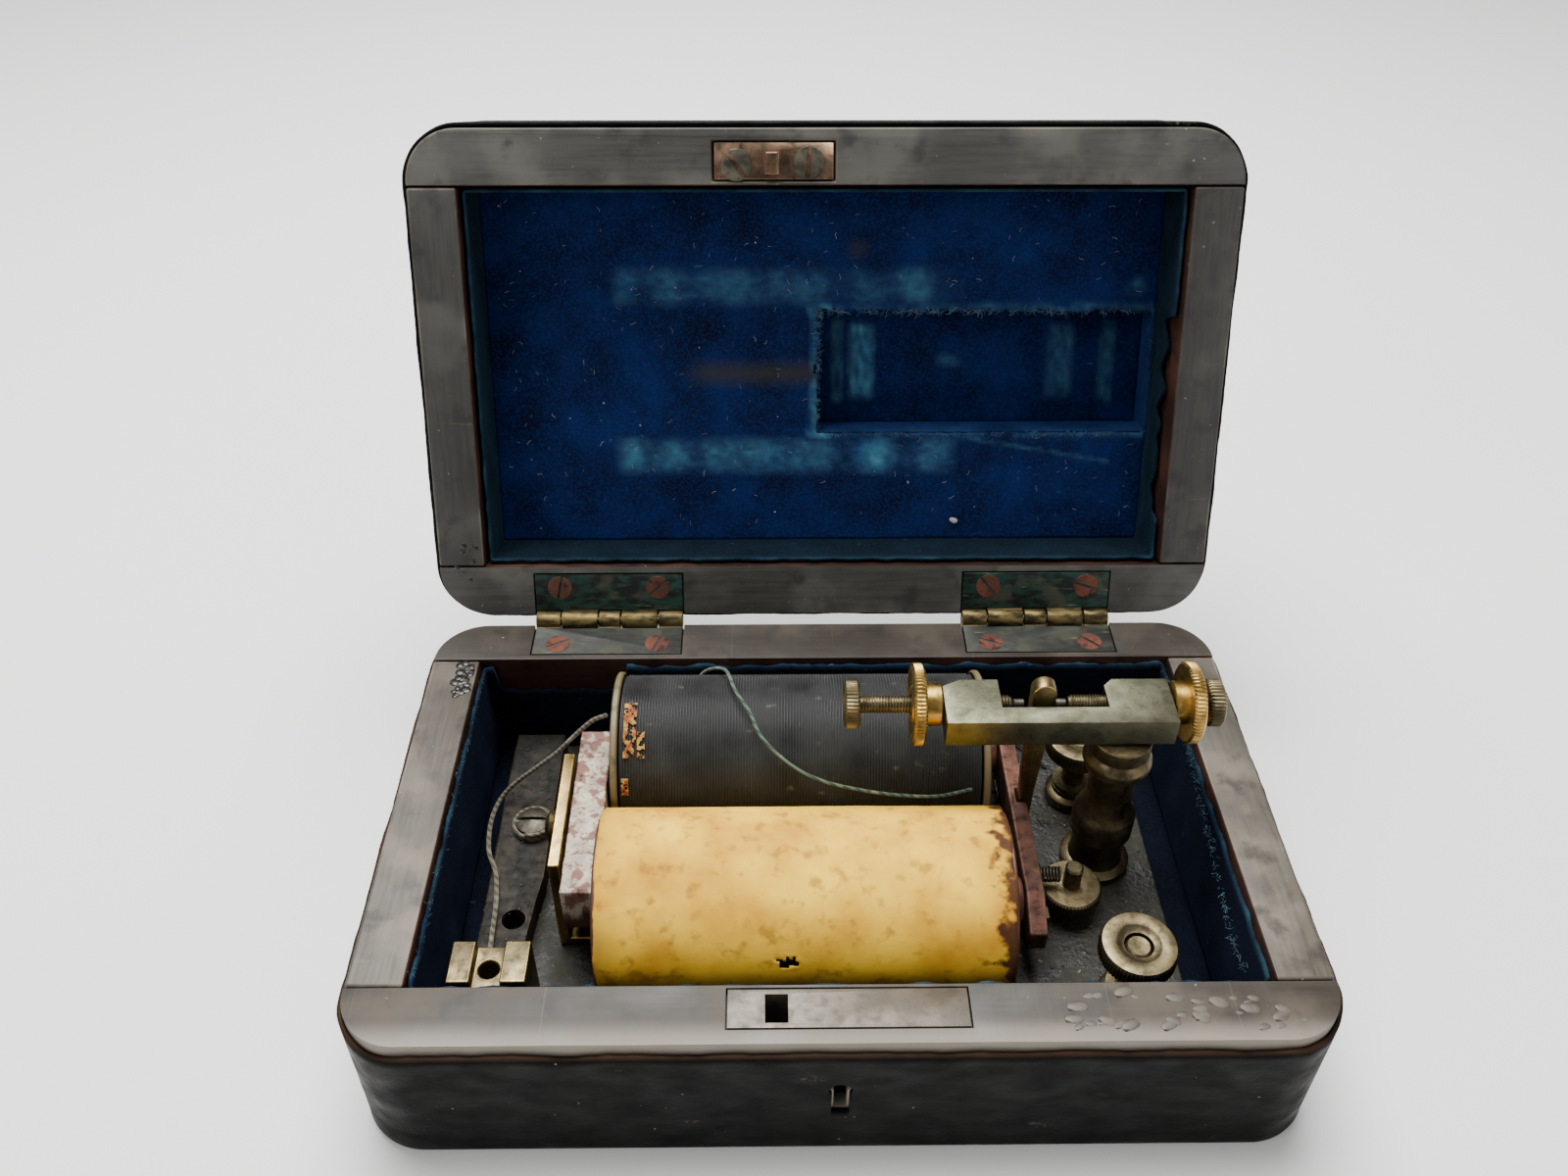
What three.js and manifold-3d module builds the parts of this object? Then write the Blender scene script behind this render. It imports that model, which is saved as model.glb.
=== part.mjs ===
// Pocket relay in a lined wooden case: a sounder-type electromagnet with its armature, contact
// bridge and terminals, held in a shallow hinged box. Millimetres, +Z up, +X to the right seen
// from the lock side. The origin is the centre of the underside of the base.
import * as THREE from 'three'
import { mergeVertices } from 'three/addons/utils/BufferGeometryUtils.js'
import Module from 'manifold-3d'

// Case
const caseLength = 150
const caseDepth = 92.2
const baseHeight = 29
const lidHeight = 27.7
const cornerRadius = 10.4
const railWidth = 10.75
const sideWall = 9.9
const leather = 0.8
const velvet = 0.6
const gap = 0.3
const boardThickness = 3.1
const lidDepth = 15.3
const lidOpenDegrees = 110.45
const leatherDrop = 1.5
const velvetDrop = 0.7

// Hinges and lock
const hingeOffset = 41.5
const leafLength = 28.4
const leafWidth = 7
const leafThickness = 1
const knuckleRadius = 1.85
const pinRadius = 0.8
const lockCentre = 0.8
const lockLength = 35.4
const lockWidth = 6.3
const lockPlateThickness = 1.2
const lockDepth = 19.5
const lockShell = 0.5
const slotCentre = -9.7
const slotLength = 3.4
const stapleDrop = 4.9
const stapleWidth = 2.2
const stapleEye = 1.9
const boltHeight = 1.6
const boltThickness = 1.3
const boltLength = 16.4
const keyholeCentre = -0.2

// Electromagnet
const coilLeft = -37.9
const coilRight = 27.5
const coilHeight = 23
const coilFrontY = -15.8
const coilRearY = 16.7
const coreRadius = 4
const flangeRadius = 14.8
const flangeThickness = 1.3
const hubWall = 0.8
const windingRadius = 14.2
const paperThickness = 0.7
const poleReach = 2.7
const yokeThickness = 5.5
const yokeHeight = 9.3

// Armature, contacts and terminals
const padTop = 12
const bedThickness = 1.5
const armatureThickness = 3
const armatureHeight = 7
const poleGap = 0.8
const pivotHeight = 15.4
const arborRadius = 1.3
const contactY = 5.2
const contactRise = 17.9
const contactRadius = 1.5
const tipRadius = 0.8
const leverThickness = 2.5
const leverTopWidth = 3.9
const leverRootWidth = 2.4
const leverTravel = 0.56
const bridgeThickness = 5.1
const bridgeLeft = 17.8
const bridgeRight = 54.9
const lockNutRadius = 6.8
const thumbRadius = 6.05
const wireRadius = 0.45

// Values worked out from the sizes above
const inset = leather + gap
const woodX = caseLength / 2 - inset
const woodY = caseDepth / 2 - inset
const woodRadius = cornerRadius - inset
const cavityX = caseLength / 2 - sideWall
const cavityY = caseDepth / 2 - railWidth
const boardTop = inset + boardThickness
const rim = baseHeight
const lidRim = baseHeight + gap
const lidTop = lidRim + lidHeight
const lidCeiling = lidRim + lidDepth
const hingeY = caseDepth / 2 + gap / 2
const hingeZ = baseHeight + gap / 2
const lockY = -cavityY - 0.75 - lockWidth / 2
const floorTop = boardTop + gap + 1
const bedBottom = floorTop + gap
const bedTop = bedBottom + bedThickness
const contactZ = rim + contactRise
const poleFace = coilRight + poleReach
const armatureX = poleFace + poleGap
const pivotX = armatureX + 2.8
const armatureTop = rim - 4
const leverX = armatureX + 1.6
const leverMiddle = leverX + leverRootWidth / 2 + 0.15
const BAR = { left: -59.5, right: -50.3, front: -33, back: 32 }

const wasm = await Module()
wasm.setup()

function toSolid(geometry) {
  const bare = geometry.clone()
  bare.deleteAttribute('normal')
  bare.deleteAttribute('uv')
  const merged = mergeVertices(bare, 1e-4)
  const vertProperties = Float32Array.from(merged.attributes.position.array)
  const triVerts = Uint32Array.from(merged.index.array)
  return new wasm.Manifold(new wasm.Mesh({ numProp: 3, vertProperties, triVerts }))
}

function toGeometry(solid) {
  const mesh = solid.getMesh()
  const geometry = new THREE.BufferGeometry()
  geometry.setAttribute('position', new THREE.BufferAttribute(mesh.vertProperties, 3))
  geometry.setIndex(new THREE.BufferAttribute(mesh.triVerts, 1))
  geometry.computeVertexNormals()
  return geometry
}

function cut(geometry, ...tools) {
  let solid = toSolid(geometry)
  for (const tool of tools) solid = solid.subtract(toSolid(tool))
  return toGeometry(solid)
}

function join(geometry, ...others) {
  let solid = toSolid(geometry)
  for (const other of others) solid = solid.add(toSolid(other))
  return toGeometry(solid)
}

function common(geometry, other) {
  return toGeometry(toSolid(geometry).intersect(toSolid(other)))
}

function box(x0, x1, y0, y1, z0, z1) {
  const geometry = new THREE.BoxGeometry(x1 - x0, y1 - y0, z1 - z0)
  return geometry.translate((x0 + x1) / 2, (y0 + y1) / 2, (z0 + z1) / 2)
}

function slab(halfX, halfY, radius, z0, z1) {
  const shape = new THREE.Shape()
  shape.absarc(halfX - radius, halfY - radius, radius, 0, Math.PI / 2)
  shape.absarc(radius - halfX, halfY - radius, radius, Math.PI / 2, Math.PI)
  shape.absarc(radius - halfX, radius - halfY, radius, Math.PI, 1.5 * Math.PI)
  shape.absarc(halfX - radius, radius - halfY, radius, 1.5 * Math.PI, 2 * Math.PI)
  const options = { depth: z1 - z0, bevelEnabled: false, curveSegments: 8 }
  return new THREE.ExtrudeGeometry(shape, options).translate(0, 0, z0)
}

// An outline in X and Y, extruded from z0 to z1.
function flat(points, z0, z1) {
  const shape = new THREE.Shape(points.map(([x, y]) => new THREE.Vector2(x, y)))
  const options = { depth: z1 - z0, bevelEnabled: false }
  return new THREE.ExtrudeGeometry(shape, options).translate(0, 0, z0)
}

// A turned piece: [radius, distance along the axis] pairs, on the axis or closed on themselves.
function turned(profile, segments = 28) {
  return new THREE.LatheGeometry(profile.map(([r, t]) => new THREE.Vector2(r, t)), segments)
}

function turnedZ(profile, x, y, segments) {
  return turned(profile, segments).rotateX(Math.PI / 2).translate(x, y, 0)
}

function turnedX(profile, y, z, segments) {
  return turned(profile, segments).rotateZ(-Math.PI / 2).translate(0, y, z)
}

function rodProfile(radius, from, to) {
  return [[0, from], [radius, from], [radius, to], [0, to]]
}

function ringProfile(inner, outer, from, to) {
  return [[inner, from], [outer, from], [outer, to], [inner, to], [inner, from]]
}

function rodX(radius, x0, x1, y, z, segments) {
  return turnedX(rodProfile(radius, x0, x1), y, z, segments)
}

function rodY(radius, y0, y1, x, z, segments) {
  return turned(rodProfile(radius, y0, y1), segments).translate(x, 0, z)
}

function rodZ(radius, z0, z1, x, y, segments) {
  return turnedZ(rodProfile(radius, z0, z1), x, y, segments)
}

// A round wire through hand-picked points.
function wire(points, radius, steps, sides = 8) {
  const path = new THREE.CatmullRomCurve3(points.map((p) => new THREE.Vector3(...p)))
  const section = new THREE.Shape()
  for (let side = 0; side < sides; side += 1) {
    const turn = (2 * Math.PI * side) / sides
    const method = side === 0 ? 'moveTo' : 'lineTo'
    section[method](radius * Math.cos(turn), radius * Math.sin(turn))
  }
  return new THREE.ExtrudeGeometry(section, { steps, extrudePath: path, bevelEnabled: false })
}

const part = new THREE.Group()
const lid = new THREE.Group()
lid.position.set(0, hingeY, hingeZ)
lid.rotation.x = -THREE.MathUtils.degToRad(lidOpenDegrees)
part.add(lid)

function add(name, geometry, color, roughness = 0.7, metalness = 0, group = part) {
  const mesh = new THREE.Mesh(geometry, new THREE.MeshStandardMaterial({ color, roughness, metalness }))
  mesh.name = name
  group.add(mesh)
}

// A lid piece is drawn with the lid shut, then hung from the hinge axis.
function addLid(name, geometry, color, roughness, metalness) {
  add(name, geometry.translate(0, -hingeY, -hingeZ), color, roughness, metalness, lid)
}

const WOOD = 0x6b6662
const LID_WOOD = 0x4d4c49
const LEATHER = 0x1c1d1a
const VELVET = 0x10204f
const BRASS = 0x7a6a45
const IRON = 0x7a5548
const BLACK = 0x22201e

// Round relief for one hinge's barrel, in either half of the case.
function barrelRelief(centre) {
  const reach = leafLength / 2 + gap
  return rodX(knuckleRadius + gap, centre - reach, centre + reach, hingeY, hingeZ)
}

function leafRecess(centre, z0, z1) {
  const reach = leafLength / 2 + gap
  return box(centre - reach, centre + reach, hingeY - leafWidth - 2.4 - gap, hingeY, z0, z1)
}

function keyhole(y0, y1) {
  const round = rodY(1.75, y0, y1, keyholeCentre, rim - 11.3, 20)
  return join(round, box(keyholeCentre - 1, keyholeCentre + 1, y0, y1, rim - 17.5, rim - 11.3))
}

// The four walls of one half of the case, between z0 and z1.
function walls(z0, z1) {
  const block = slab(woodX, woodY, woodRadius, z0, z1)
  const side = cavityY - gap
  return {
    front: common(block, box(-woodX, woodX, -woodY, -cavityY, z0, z1)),
    back: common(block, box(-woodX, woodX, cavityY, woodY, z0, z1)),
    left: box(-woodX, -cavityX, -side, side, z0, z1),
    right: box(cavityX, woodX, -side, side, z0, z1),
  }
}

function skinRing(z0, z1) {
  const outer = slab(caseLength / 2, caseDepth / 2, cornerRadius, z0, z1)
  const innerX = caseLength / 2 - leather
  const innerY = caseDepth / 2 - leather
  const inner = slab(innerX, innerY, cornerRadius - leather, z0 - 1, z1 + 1)
  return cut(outer, inner)
}

// A cloth lining: a sheet against the board and a wall right round, between z0 and z1.
function lining(z0, z1, sheet0, sheet1) {
  const x = cavityX - gap
  const y = cavityY - gap
  const hollow = box(velvet - x, x - velvet, velvet - y, y - velvet, z0 - 1, z1 + 1)
  const ring = cut(box(-x, x, -y, y, z0, z1), hollow)
  return join(ring, box(-x, x, -y, y, sheet0, sheet1))
}

function buildBaseCase() {
  const shell = walls(boardTop + gap, rim)
  const plateX = [lockCentre - lockLength / 2 - gap, lockCentre + lockLength / 2 + gap]
  const plateY = [lockY - lockWidth / 2 - gap, lockY + lockWidth / 2 + gap]
  const mortise = [
    box(...plateX, ...plateY, rim - lockPlateThickness - gap, rim + 1),
    box(plateX[0] + 1.4, plateX[1] - 1.4, ...plateY, rim - lockDepth - gap, rim),
    keyhole(-woodY - 1, lockY),
  ]
  const reliefs = [-hingeOffset, hingeOffset].flatMap((x) => [
    barrelRelief(x),
    leafRecess(x, rim - leafThickness - gap, rim + 1),
  ])
  add('base_front_wall', cut(shell.front, ...mortise), WOOD)
  add('base_back_wall', cut(shell.back, ...reliefs), WOOD)
  add('base_left_wall', shell.left, WOOD)
  add('base_right_wall', shell.right, WOOD)
  add('base_bottom_board', slab(woodX, woodY, woodRadius, inset, boardTop), WOOD)
  const ring = skinRing(inset, rim - leatherDrop)
  const barrels = [-hingeOffset, hingeOffset].map(barrelRelief)
  add('base_leather_sides', cut(ring, keyhole(-caseDepth / 2 - 1, -woodY), ...barrels), LEATHER)
  add('base_leather_bottom', slab(caseLength / 2, caseDepth / 2, cornerRadius, 0, leather), LEATHER)
  const floor = boardTop + gap
  add('base_velvet', lining(floor, rim - velvetDrop, floor, floorTop), VELVET, 1)
}

function buildLock() {
  const x0 = lockCentre - lockLength / 2
  const x1 = lockCentre + lockLength / 2
  const y0 = lockY - lockWidth / 2
  const y1 = lockY + lockWidth / 2
  const plate = box(x0, x1, y0, y1, rim - lockPlateThickness, rim)
  const shell = box(x0 + 1.4, x1 - 1.4, y0 + gap, y1 - gap, rim - lockDepth, rim - 1)
  const wall = gap + lockShell
  const ceiling = rim - lockPlateThickness
  const hollow = box(x0 + 1.9, x1 - 1.9, y0 + wall, y1 - wall, rim - lockDepth + lockShell, ceiling)
  const slotX = [slotCentre - slotLength / 2, slotCentre + slotLength / 2]
  const slot = box(...slotX, y0 + wall, y1 - wall, ceiling - 1, rim + 1)
  add('lock_body', cut(join(plate, shell), hollow, slot, keyhole(y0 - 1, lockY)), BRASS, 0.5, 1)
  const boltTop = ceiling - 2 * gap
  const boltStart = slotCentre + slotLength / 2 + 2 * gap
  const bolt = [lockY - boltThickness / 2, lockY + boltThickness / 2]
  const bar = box(boltStart, boltStart + boltLength, ...bolt, boltTop - boltHeight, boltTop)
  const talon = box(boltStart + 5, boltStart + 9, ...bolt, boltTop - boltHeight - 4, boltTop)
  add('lock_bolt', join(bar, talon), BRASS, 0.5, 1)
}

// One hinge leaf: a plate on the rim and the knuckles that it owns out of the five.
function hingeLeaf(centre, z0, z1, owned) {
  const knuckles = [4.8, 7.1, 4.4, 7.1, 4.8]
  const total = knuckles.reduce((sum, length) => sum + length, 0)
  const scale = leafLength / total
  const front = hingeY - leafWidth - 2.4
  const back = hingeY - knuckleRadius - gap
  let leaf = box(centre - leafLength / 2, centre + leafLength / 2, front, back, z0, z1)
  let x = centre - leafLength / 2
  knuckles.forEach((length, index) => {
    const from = x + (index > 0 ? gap / 2 : 0)
    const to = x + length * scale - (index < 4 ? gap / 2 : 0)
    if (owned.includes(index)) {
      const barrel = rodX(knuckleRadius, from, to, hingeY, hingeZ, 20)
      leaf = join(leaf, box(from, to, front + 2, hingeY, z0, z1), barrel)
    }
    x += length * scale
  })
  return cut(leaf, rodX(pinRadius + gap, centre - leafLength, centre + leafLength, hingeY, hingeZ, 16))
}

function buildHinges() {
  const sides = { left: -hingeOffset, right: hingeOffset }
  for (const [side, centre] of Object.entries(sides)) {
    const half = leafLength / 2
    add(`base_hinge_leaf_${side}`, hingeLeaf(centre, rim - leafThickness, rim, [0, 2, 4]), BRASS, 0.6, 1)
    const lidLeaf = hingeLeaf(centre, lidRim, lidRim + leafThickness, [1, 3])
    addLid(`lid_hinge_leaf_${side}`, lidLeaf, BRASS, 0.6, 1)
    const pin = rodX(pinRadius, centre - half, centre + half, hingeY, hingeZ, 16)
    add(`hinge_pin_${side}`, pin, BRASS, 0.5, 1)
  }
}

function buildLid() {
  const wallTop = lidCeiling
  const shell = walls(lidRim, wallTop)
  const reliefs = [-hingeOffset, hingeOffset].flatMap((x) => [
    barrelRelief(x),
    leafRecess(x, lidRim - 1, lidRim + leafThickness + gap),
  ])
  const plateX = [slotCentre - 10.1, slotCentre + 10.9]
  const plateY = [lockY - 3.3, lockY + 2.9]
  const recessX = [plateX[0] - gap, plateX[1] + gap]
  const recessY = [plateY[0] - gap, plateY[1] + gap]
  const plateRecess = box(...recessX, ...recessY, lidRim - 1, lidRim + 1.3)
  addLid('lid_front_wall', cut(shell.front, plateRecess), LID_WOOD)
  addLid('lid_back_wall', cut(shell.back, ...reliefs), LID_WOOD)
  addLid('lid_left_wall', shell.left, LID_WOOD)
  addLid('lid_right_wall', shell.right, LID_WOOD)
  const boardBottom = wallTop + gap
  const board = slab(woodX, woodY, woodRadius, boardBottom, lidTop - inset)
  const pocketY = [-12, contactY + lockNutRadius + 0.7]
  const pocketTop = contactZ + lockNutRadius + 0.6
  const pocket = box(-1.5, cavityX - 0.1, ...pocketY, boardBottom - 1, pocketTop)
  addLid('lid_top_board', cut(board, pocket), LID_WOOD)
  const ring = skinRing(lidRim + leatherDrop, lidTop - leather)
  const cap = slab(caseLength / 2, caseDepth / 2, cornerRadius, lidTop - leather, lidTop)
  const barrels = [-hingeOffset, hingeOffset].map(barrelRelief)
  addLid('lid_leather', cut(join(ring, cap), ...barrels), LEATHER)
  const cloth = lining(lidRim + velvetDrop, wallTop, wallTop - 1, wallTop)
  const pocketRight = cavityX - gap - velvet
  addLid('lid_velvet', cut(cloth, box(-1.5, pocketRight, ...pocketY, wallTop - 2, wallTop + 1)), VELVET, 1)
  const plate = box(...plateX, ...plateY, lidRim, lidRim + 1)
  const half = (lockWidth - 2 * (gap + lockShell)) / 2 - 0.5
  const loopX = [slotCentre - stapleWidth / 2, slotCentre + stapleWidth / 2]
  const loop = box(...loopX, lockY - half, lockY + half, rim - stapleDrop, lidRim + 0.5)
  const eyeY = [lockY - stapleEye / 2, lockY + stapleEye / 2]
  const eye = box(-caseLength, caseLength, ...eyeY, rim - stapleDrop + 1.2, rim - 1.4)
  addLid('lid_link_plate', join(plate, cut(loop, eye)), 0x8a6a58, 0.5, 1)
}

function buildBed() {
  const plate = box(-61, 58.5, -33.6, 33.6, bedBottom, bedTop)
  add('relay_bed', join(plate, box(29.5, 57, -33, 30, bedBottom, padTop)), 0x4c5149)
  const taper = [[BAR.left, BAR.front], [-51.7, BAR.front], [-51.7, -15.1], [-51, -7.4], [BAR.right, -2.2]]
  const outline = [...taper, [BAR.right, BAR.back], [BAR.left, BAR.back]]
  const bar = cut(
    flat(outline, bedTop + gap, padTop),
    rodZ(2, bedTop, padTop + 1, -54.3, -11.1, 20),
    rodZ(1.5, bedTop, padTop + 1, -53.5, 9, 16),
  )
  add('terminal_bar', bar, 0x5d5147, 0.6, 1)
  const blockTop = rim - 2
  const block = cut(
    box(-59.6, -47.5, -33.2, -25.8, padTop + gap, blockTop),
    box(-56, -51.5, -34, -25, blockTop - 1.6, blockTop + 1),
    rodZ(1.6, blockTop - 9, blockTop + 1, -53.7, -29.9, 16),
  )
  add('terminal_block', block, BRASS, 0.5, 1)
  const head = turnedZ([[0, padTop - 3], [1.2, padTop - 3], [1.2, padTop + gap],
    [3, padTop + gap], [3, padTop + 1.6],
    [2.2, padTop + 2.3], [0, padTop + 2.5]], -53.5, 9)
  add('terminal_screw', cut(head, box(-54, -53, 5, 13, padTop + 1.6, padTop + 3)), 0x8c7a4c, 0.5, 1)
}

function buildYoke() {
  const right = coilLeft - 0.6
  const left = right - yokeThickness
  const top = rim - gap
  const screwZ = rim - 5
  const screwY = -1
  const back = left - 0.6
  const hole = rodX(1.8, back - 5, right - 2.2, screwY, screwZ, 16)
  add('yoke', cut(box(left, right, -18.2, 16.9, top - yokeHeight, top), hole), 0xc9b8b4, 0.8)
  const upright = box(back - 1.9, back, -13.2, 11.4, bedTop + gap, rim)
  const foot = box(back - 1.9, right - 1, -13.2, 11.4, bedTop + gap, bedTop + 2.1)
  add('yoke_bracket', cut(join(upright, foot), hole), BRASS, 0.5, 1)
  const seat = back - 1.9 - gap
  const screw = turnedX([[0, seat - 2.1], [1.8, seat - 1.8], [2.7, seat - 0.9], [3, seat], [1.5, seat],
    [1.5, right - 2.5], [0, right - 2.5]], screwY, screwZ)
  const slit = box(seat - 3, seat - 1.3, screwY - 4, screwY + 4, screwZ - 0.5, screwZ + 0.5)
  add('yoke_screw', cut(screw, slit), BRASS, 0.4, 1)
}

function buildCoil(name, y, wrapped) {
  const bore = coreRadius + gap
  const hub = bore + hubWall
  const inLeft = coilLeft + flangeThickness
  const inRight = coilRight - flangeThickness
  add(`${name}_core`, rodX(coreRadius, coilLeft - gap, poleFace, y, coilHeight), IRON, 0.6, 1)
  const bobbin = [[bore, coilLeft], [flangeRadius, coilLeft], [flangeRadius, inLeft],
    [hub, inLeft], [hub, inRight],
    [flangeRadius, inRight], [flangeRadius, coilRight], [bore, coilRight], [bore, coilLeft]]
  add(`${name}_bobbin`, turnedX(bobbin, y, coilHeight, 40), 0xb59a62, 0.5)
  const winding = ringProfile(hub + gap, windingRadius, inLeft + gap, inRight - gap)
  add(`${name}_winding`, turnedX(winding, y, coilHeight, 40), BLACK, 0.6)
  if (wrapped) {
    const inside = windingRadius + gap
    const paper = ringProfile(inside, inside + paperThickness, inLeft + gap, inRight - gap)
    add('paper_wrap', turnedX(paper, y, coilHeight, 40), 0xd9b06a, 0.9)
  }
}

function buildArmature() {
  const left = armatureX
  const right = armatureX + armatureThickness
  const low = armatureTop - armatureHeight
  const profile = new THREE.Shape([[-22, low], [23, low], [23, armatureTop], [-16, armatureTop],
    [-22, armatureTop - 3]].map(([y, z]) => new THREE.Vector2(y, z)))
  const bar = new THREE.ExtrudeGeometry(profile, { depth: right - left, bevelEnabled: false })
  bar.applyMatrix4(new THREE.Matrix4().set(0, 0, 1, left, 1, 0, 0, 0, 0, 1, 0, 0, 0, 0, 0, 1))
  const y0 = contactY - 1.7
  const y1 = y0 + leverThickness
  const notch = box(leverX - gap, right + 1, y0 - gap, y1 + gap, low - 1, armatureTop + 1)
  add('armature', cut(bar, notch), IRON, 0.85, 0.6)

  const leverTop = contactZ + 5.5
  const tipCentre = leverTop - leverTopWidth / 2
  const shape = new THREE.Shape()
  shape.moveTo(leverX, pivotHeight + 1)
  shape.lineTo(leverX + leverRootWidth, pivotHeight + 1)
  shape.lineTo(leverX + leverRootWidth, armatureTop + 2)
  shape.lineTo(leverMiddle + leverTopWidth / 2, tipCentre - 4)
  shape.absarc(leverMiddle, tipCentre, leverTopWidth / 2, 0, Math.PI)
  shape.lineTo(leverMiddle - leverTopWidth / 2, tipCentre - 4)
  shape.lineTo(leverX, armatureTop + 2)
  const extrusion = { depth: leverThickness, bevelEnabled: false, curveSegments: 8 }
  const blade = new THREE.ExtrudeGeometry(shape, extrusion)
  blade.rotateX(Math.PI / 2).translate(0, y1, 0)
  const eye = rodY(2.2, y0, y1, pivotX, pivotHeight)
  const bore = rodY(arborRadius + gap, y0 - 1, y1 + 1, pivotX, pivotHeight, 16)
  add('contact_lever', cut(join(blade, eye), bore), BRASS, 0.45, 1)

  const arborFront = -12.7
  const arborBack = 18.7
  const arbor = [[0, arborFront - 2], [0.8, arborFront - 2], [0.8, arborFront], [arborRadius, arborFront],
    [arborRadius, arborBack], [0.8, arborBack], [0.8, arborBack + 2], [0, arborBack + 2]]
  add('armature_arbor', turned(arbor, 16).translate(pivotX, 0, pivotHeight), 0x6a5a44, 0.5, 1)
  const ends = [[arborFront - 2.8, arborFront - gap], [arborBack + gap, arborBack + 2.8]]
  const bracketTop = low - 0.6
  let bracket = box(pivotX - 2.2, pivotX + 2.2, ends[0][0], ends[1][1], padTop + gap, padTop + 1)
  for (const [from, to] of ends) {
    bracket = join(bracket, box(pivotX - 2.2, pivotX + 2.2, from, to, padTop + gap, bracketTop))
  }
  const trunnion = rodY(0.8 + gap, ends[0][0] - 1, ends[1][1] + 1, pivotX, pivotHeight, 16)
  add('pivot_bracket', cut(bracket, trunnion), BRASS, 0.5, 1)
}

function buildBridge() {
  const top = contactZ + 2.3
  const low = top - bridgeThickness
  const front = contactY - 6.6
  const inner = front + 3.5
  const back = contactY + 3.3
  const lugLeft = 27
  const lugRight = 44.3
  const slope = 1.5
  const outline = [[bridgeLeft, front], [bridgeRight, front], [bridgeRight, back], [lugRight + slope, back],
    [lugRight, back - slope], [lugRight, inner], [lugLeft, inner], [lugLeft, back], [bridgeLeft + 3, back],
    [bridgeLeft, back - slope]]
  const bore = rodX(contactRadius + gap, bridgeLeft - 1, bridgeRight + 1, contactY, contactZ, 20)
  const post = { x: 47, y: contactY - 4.2 }
  const spigot = 1.2
  const hole = rodZ(spigot + gap, low - 1, low + 3.7, post.x, post.y, 16)
  add('contact_bridge', cut(flat(outline, low, top), bore, hole), 0x5f5d4c, 0.55, 1)
  const seat = low - gap
  const foot = padTop + gap
  const profile = [[0, foot], [6, foot], [6, foot + 1.3], [4.5, foot + 1.9],
    [4.5, foot + 8], [5.2, foot + 8.5],
    [5.2, foot + 13], [4, foot + 15], [4, seat - 7.5], [5.7, seat - 6],
    [5.7, seat - 4], [5, seat - 3], [5, seat],
    [spigot, seat], [spigot, seat + 3.5], [0, seat + 3.5]]
  add('bridge_post', turnedZ(profile, post.x, post.y), BRASS, 0.5, 1)
}

// One contact screw with its tip and lock nut. side is -1 at the left lug and 1 at the right.
function buildContact(name, side, lug, tipEnd, nut, head) {
  const along = (t) => side * t
  const place = (profile, segments) => {
    const ordered = side > 0 ? profile : profile.map(([r, t]) => [r, along(t)]).reverse()
    return turnedX(ordered, contactY, contactZ, segments)
  }
  const tip = tipEnd + 1.8
  add(`${name}_contact_tip`, place(rodProfile(tipRadius, tipEnd, tip), 14), 0xc8c8c4, 0.3, 1)
  const screw = [[0, tip + gap], [contactRadius, tip + gap], [contactRadius, head],
    [3.9, head], [3.9, head + 2.4],
    [3.2, head + 2.8], [0, head + 2.8]]
  add(`${name}_contact_screw`, place(screw, 20), BRASS, 0.45, 1)
  const bore = contactRadius + gap
  const seat = lug + gap
  const lockNut = [[bore, seat], [3.6, seat], [3.6, nut], [lockNutRadius, nut], [lockNutRadius, nut + 2.1],
    [bore, nut + 2.1], [bore, seat]]
  add(`${name}_lock_nut`, place(lockNut, 32), BRASS, 0.45, 1)
}

function buildTerminals() {
  const top = rim - 1
  const posts = { front: [46.3, -27.8], rear: [45.2, 15.5] }
  for (const [name, [x, y]] of Object.entries(posts)) {
    const shank = [[0, padTop + gap], [4.5, padTop + gap], [4.5, padTop + 2.6], [3.5, padTop + 3.2],
      [3.5, padTop + 5], [2, padTop + 5], [2, top - 0.9], [0, top - 0.7]]
    add(`${name}_binding_post`, turnedZ(shank, x, y, 20), BRASS, 0.5, 1)
    const nut = [[2.3, top - 5.5], [3.4, top - 5.5], [3.4, top - 3.4],
      [thumbRadius, top - 3.4], [thumbRadius, top],
      [3.3, top], [2.3, top - 0.8], [2.3, top - 5.5]]
    add(`${name}_thumb_nut`, turnedZ(nut, x, y, 32), BRASS, 0.5, 1)
  }
  const spring = { x: 40.5, y: -9, z: padTop + 8.6 }
  const stud = [[0, padTop + gap], [1.5, padTop + gap], [1.5, padTop + 3.5],
    [5.2, padTop + 3.5], [5.2, padTop + 6],
    [1.5, padTop + 6], [1.5, padTop + 10.5], [0, padTop + 10.5]]
  add('spring_post', turnedZ(stud, spring.x, spring.y), BRASS, 0.5, 1)
  const start = armatureX + armatureThickness + gap + 0.3
  const length = spring.x - 1.5 - gap - 0.3 - start
  const turns = 5
  const points = []
  for (let step = 0; step <= turns * 10; step += 1) {
    const turn = (2 * Math.PI * step) / 10
    const x = start + (length * step) / (turns * 10)
    points.push([x, spring.y + 1.2 * Math.cos(turn), spring.z + 1.2 * Math.sin(turn)])
  }
  add('armature_spring', wire(points, 0.22, turns * 10, 6), 0x555048, 0.4, 1)
}

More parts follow.
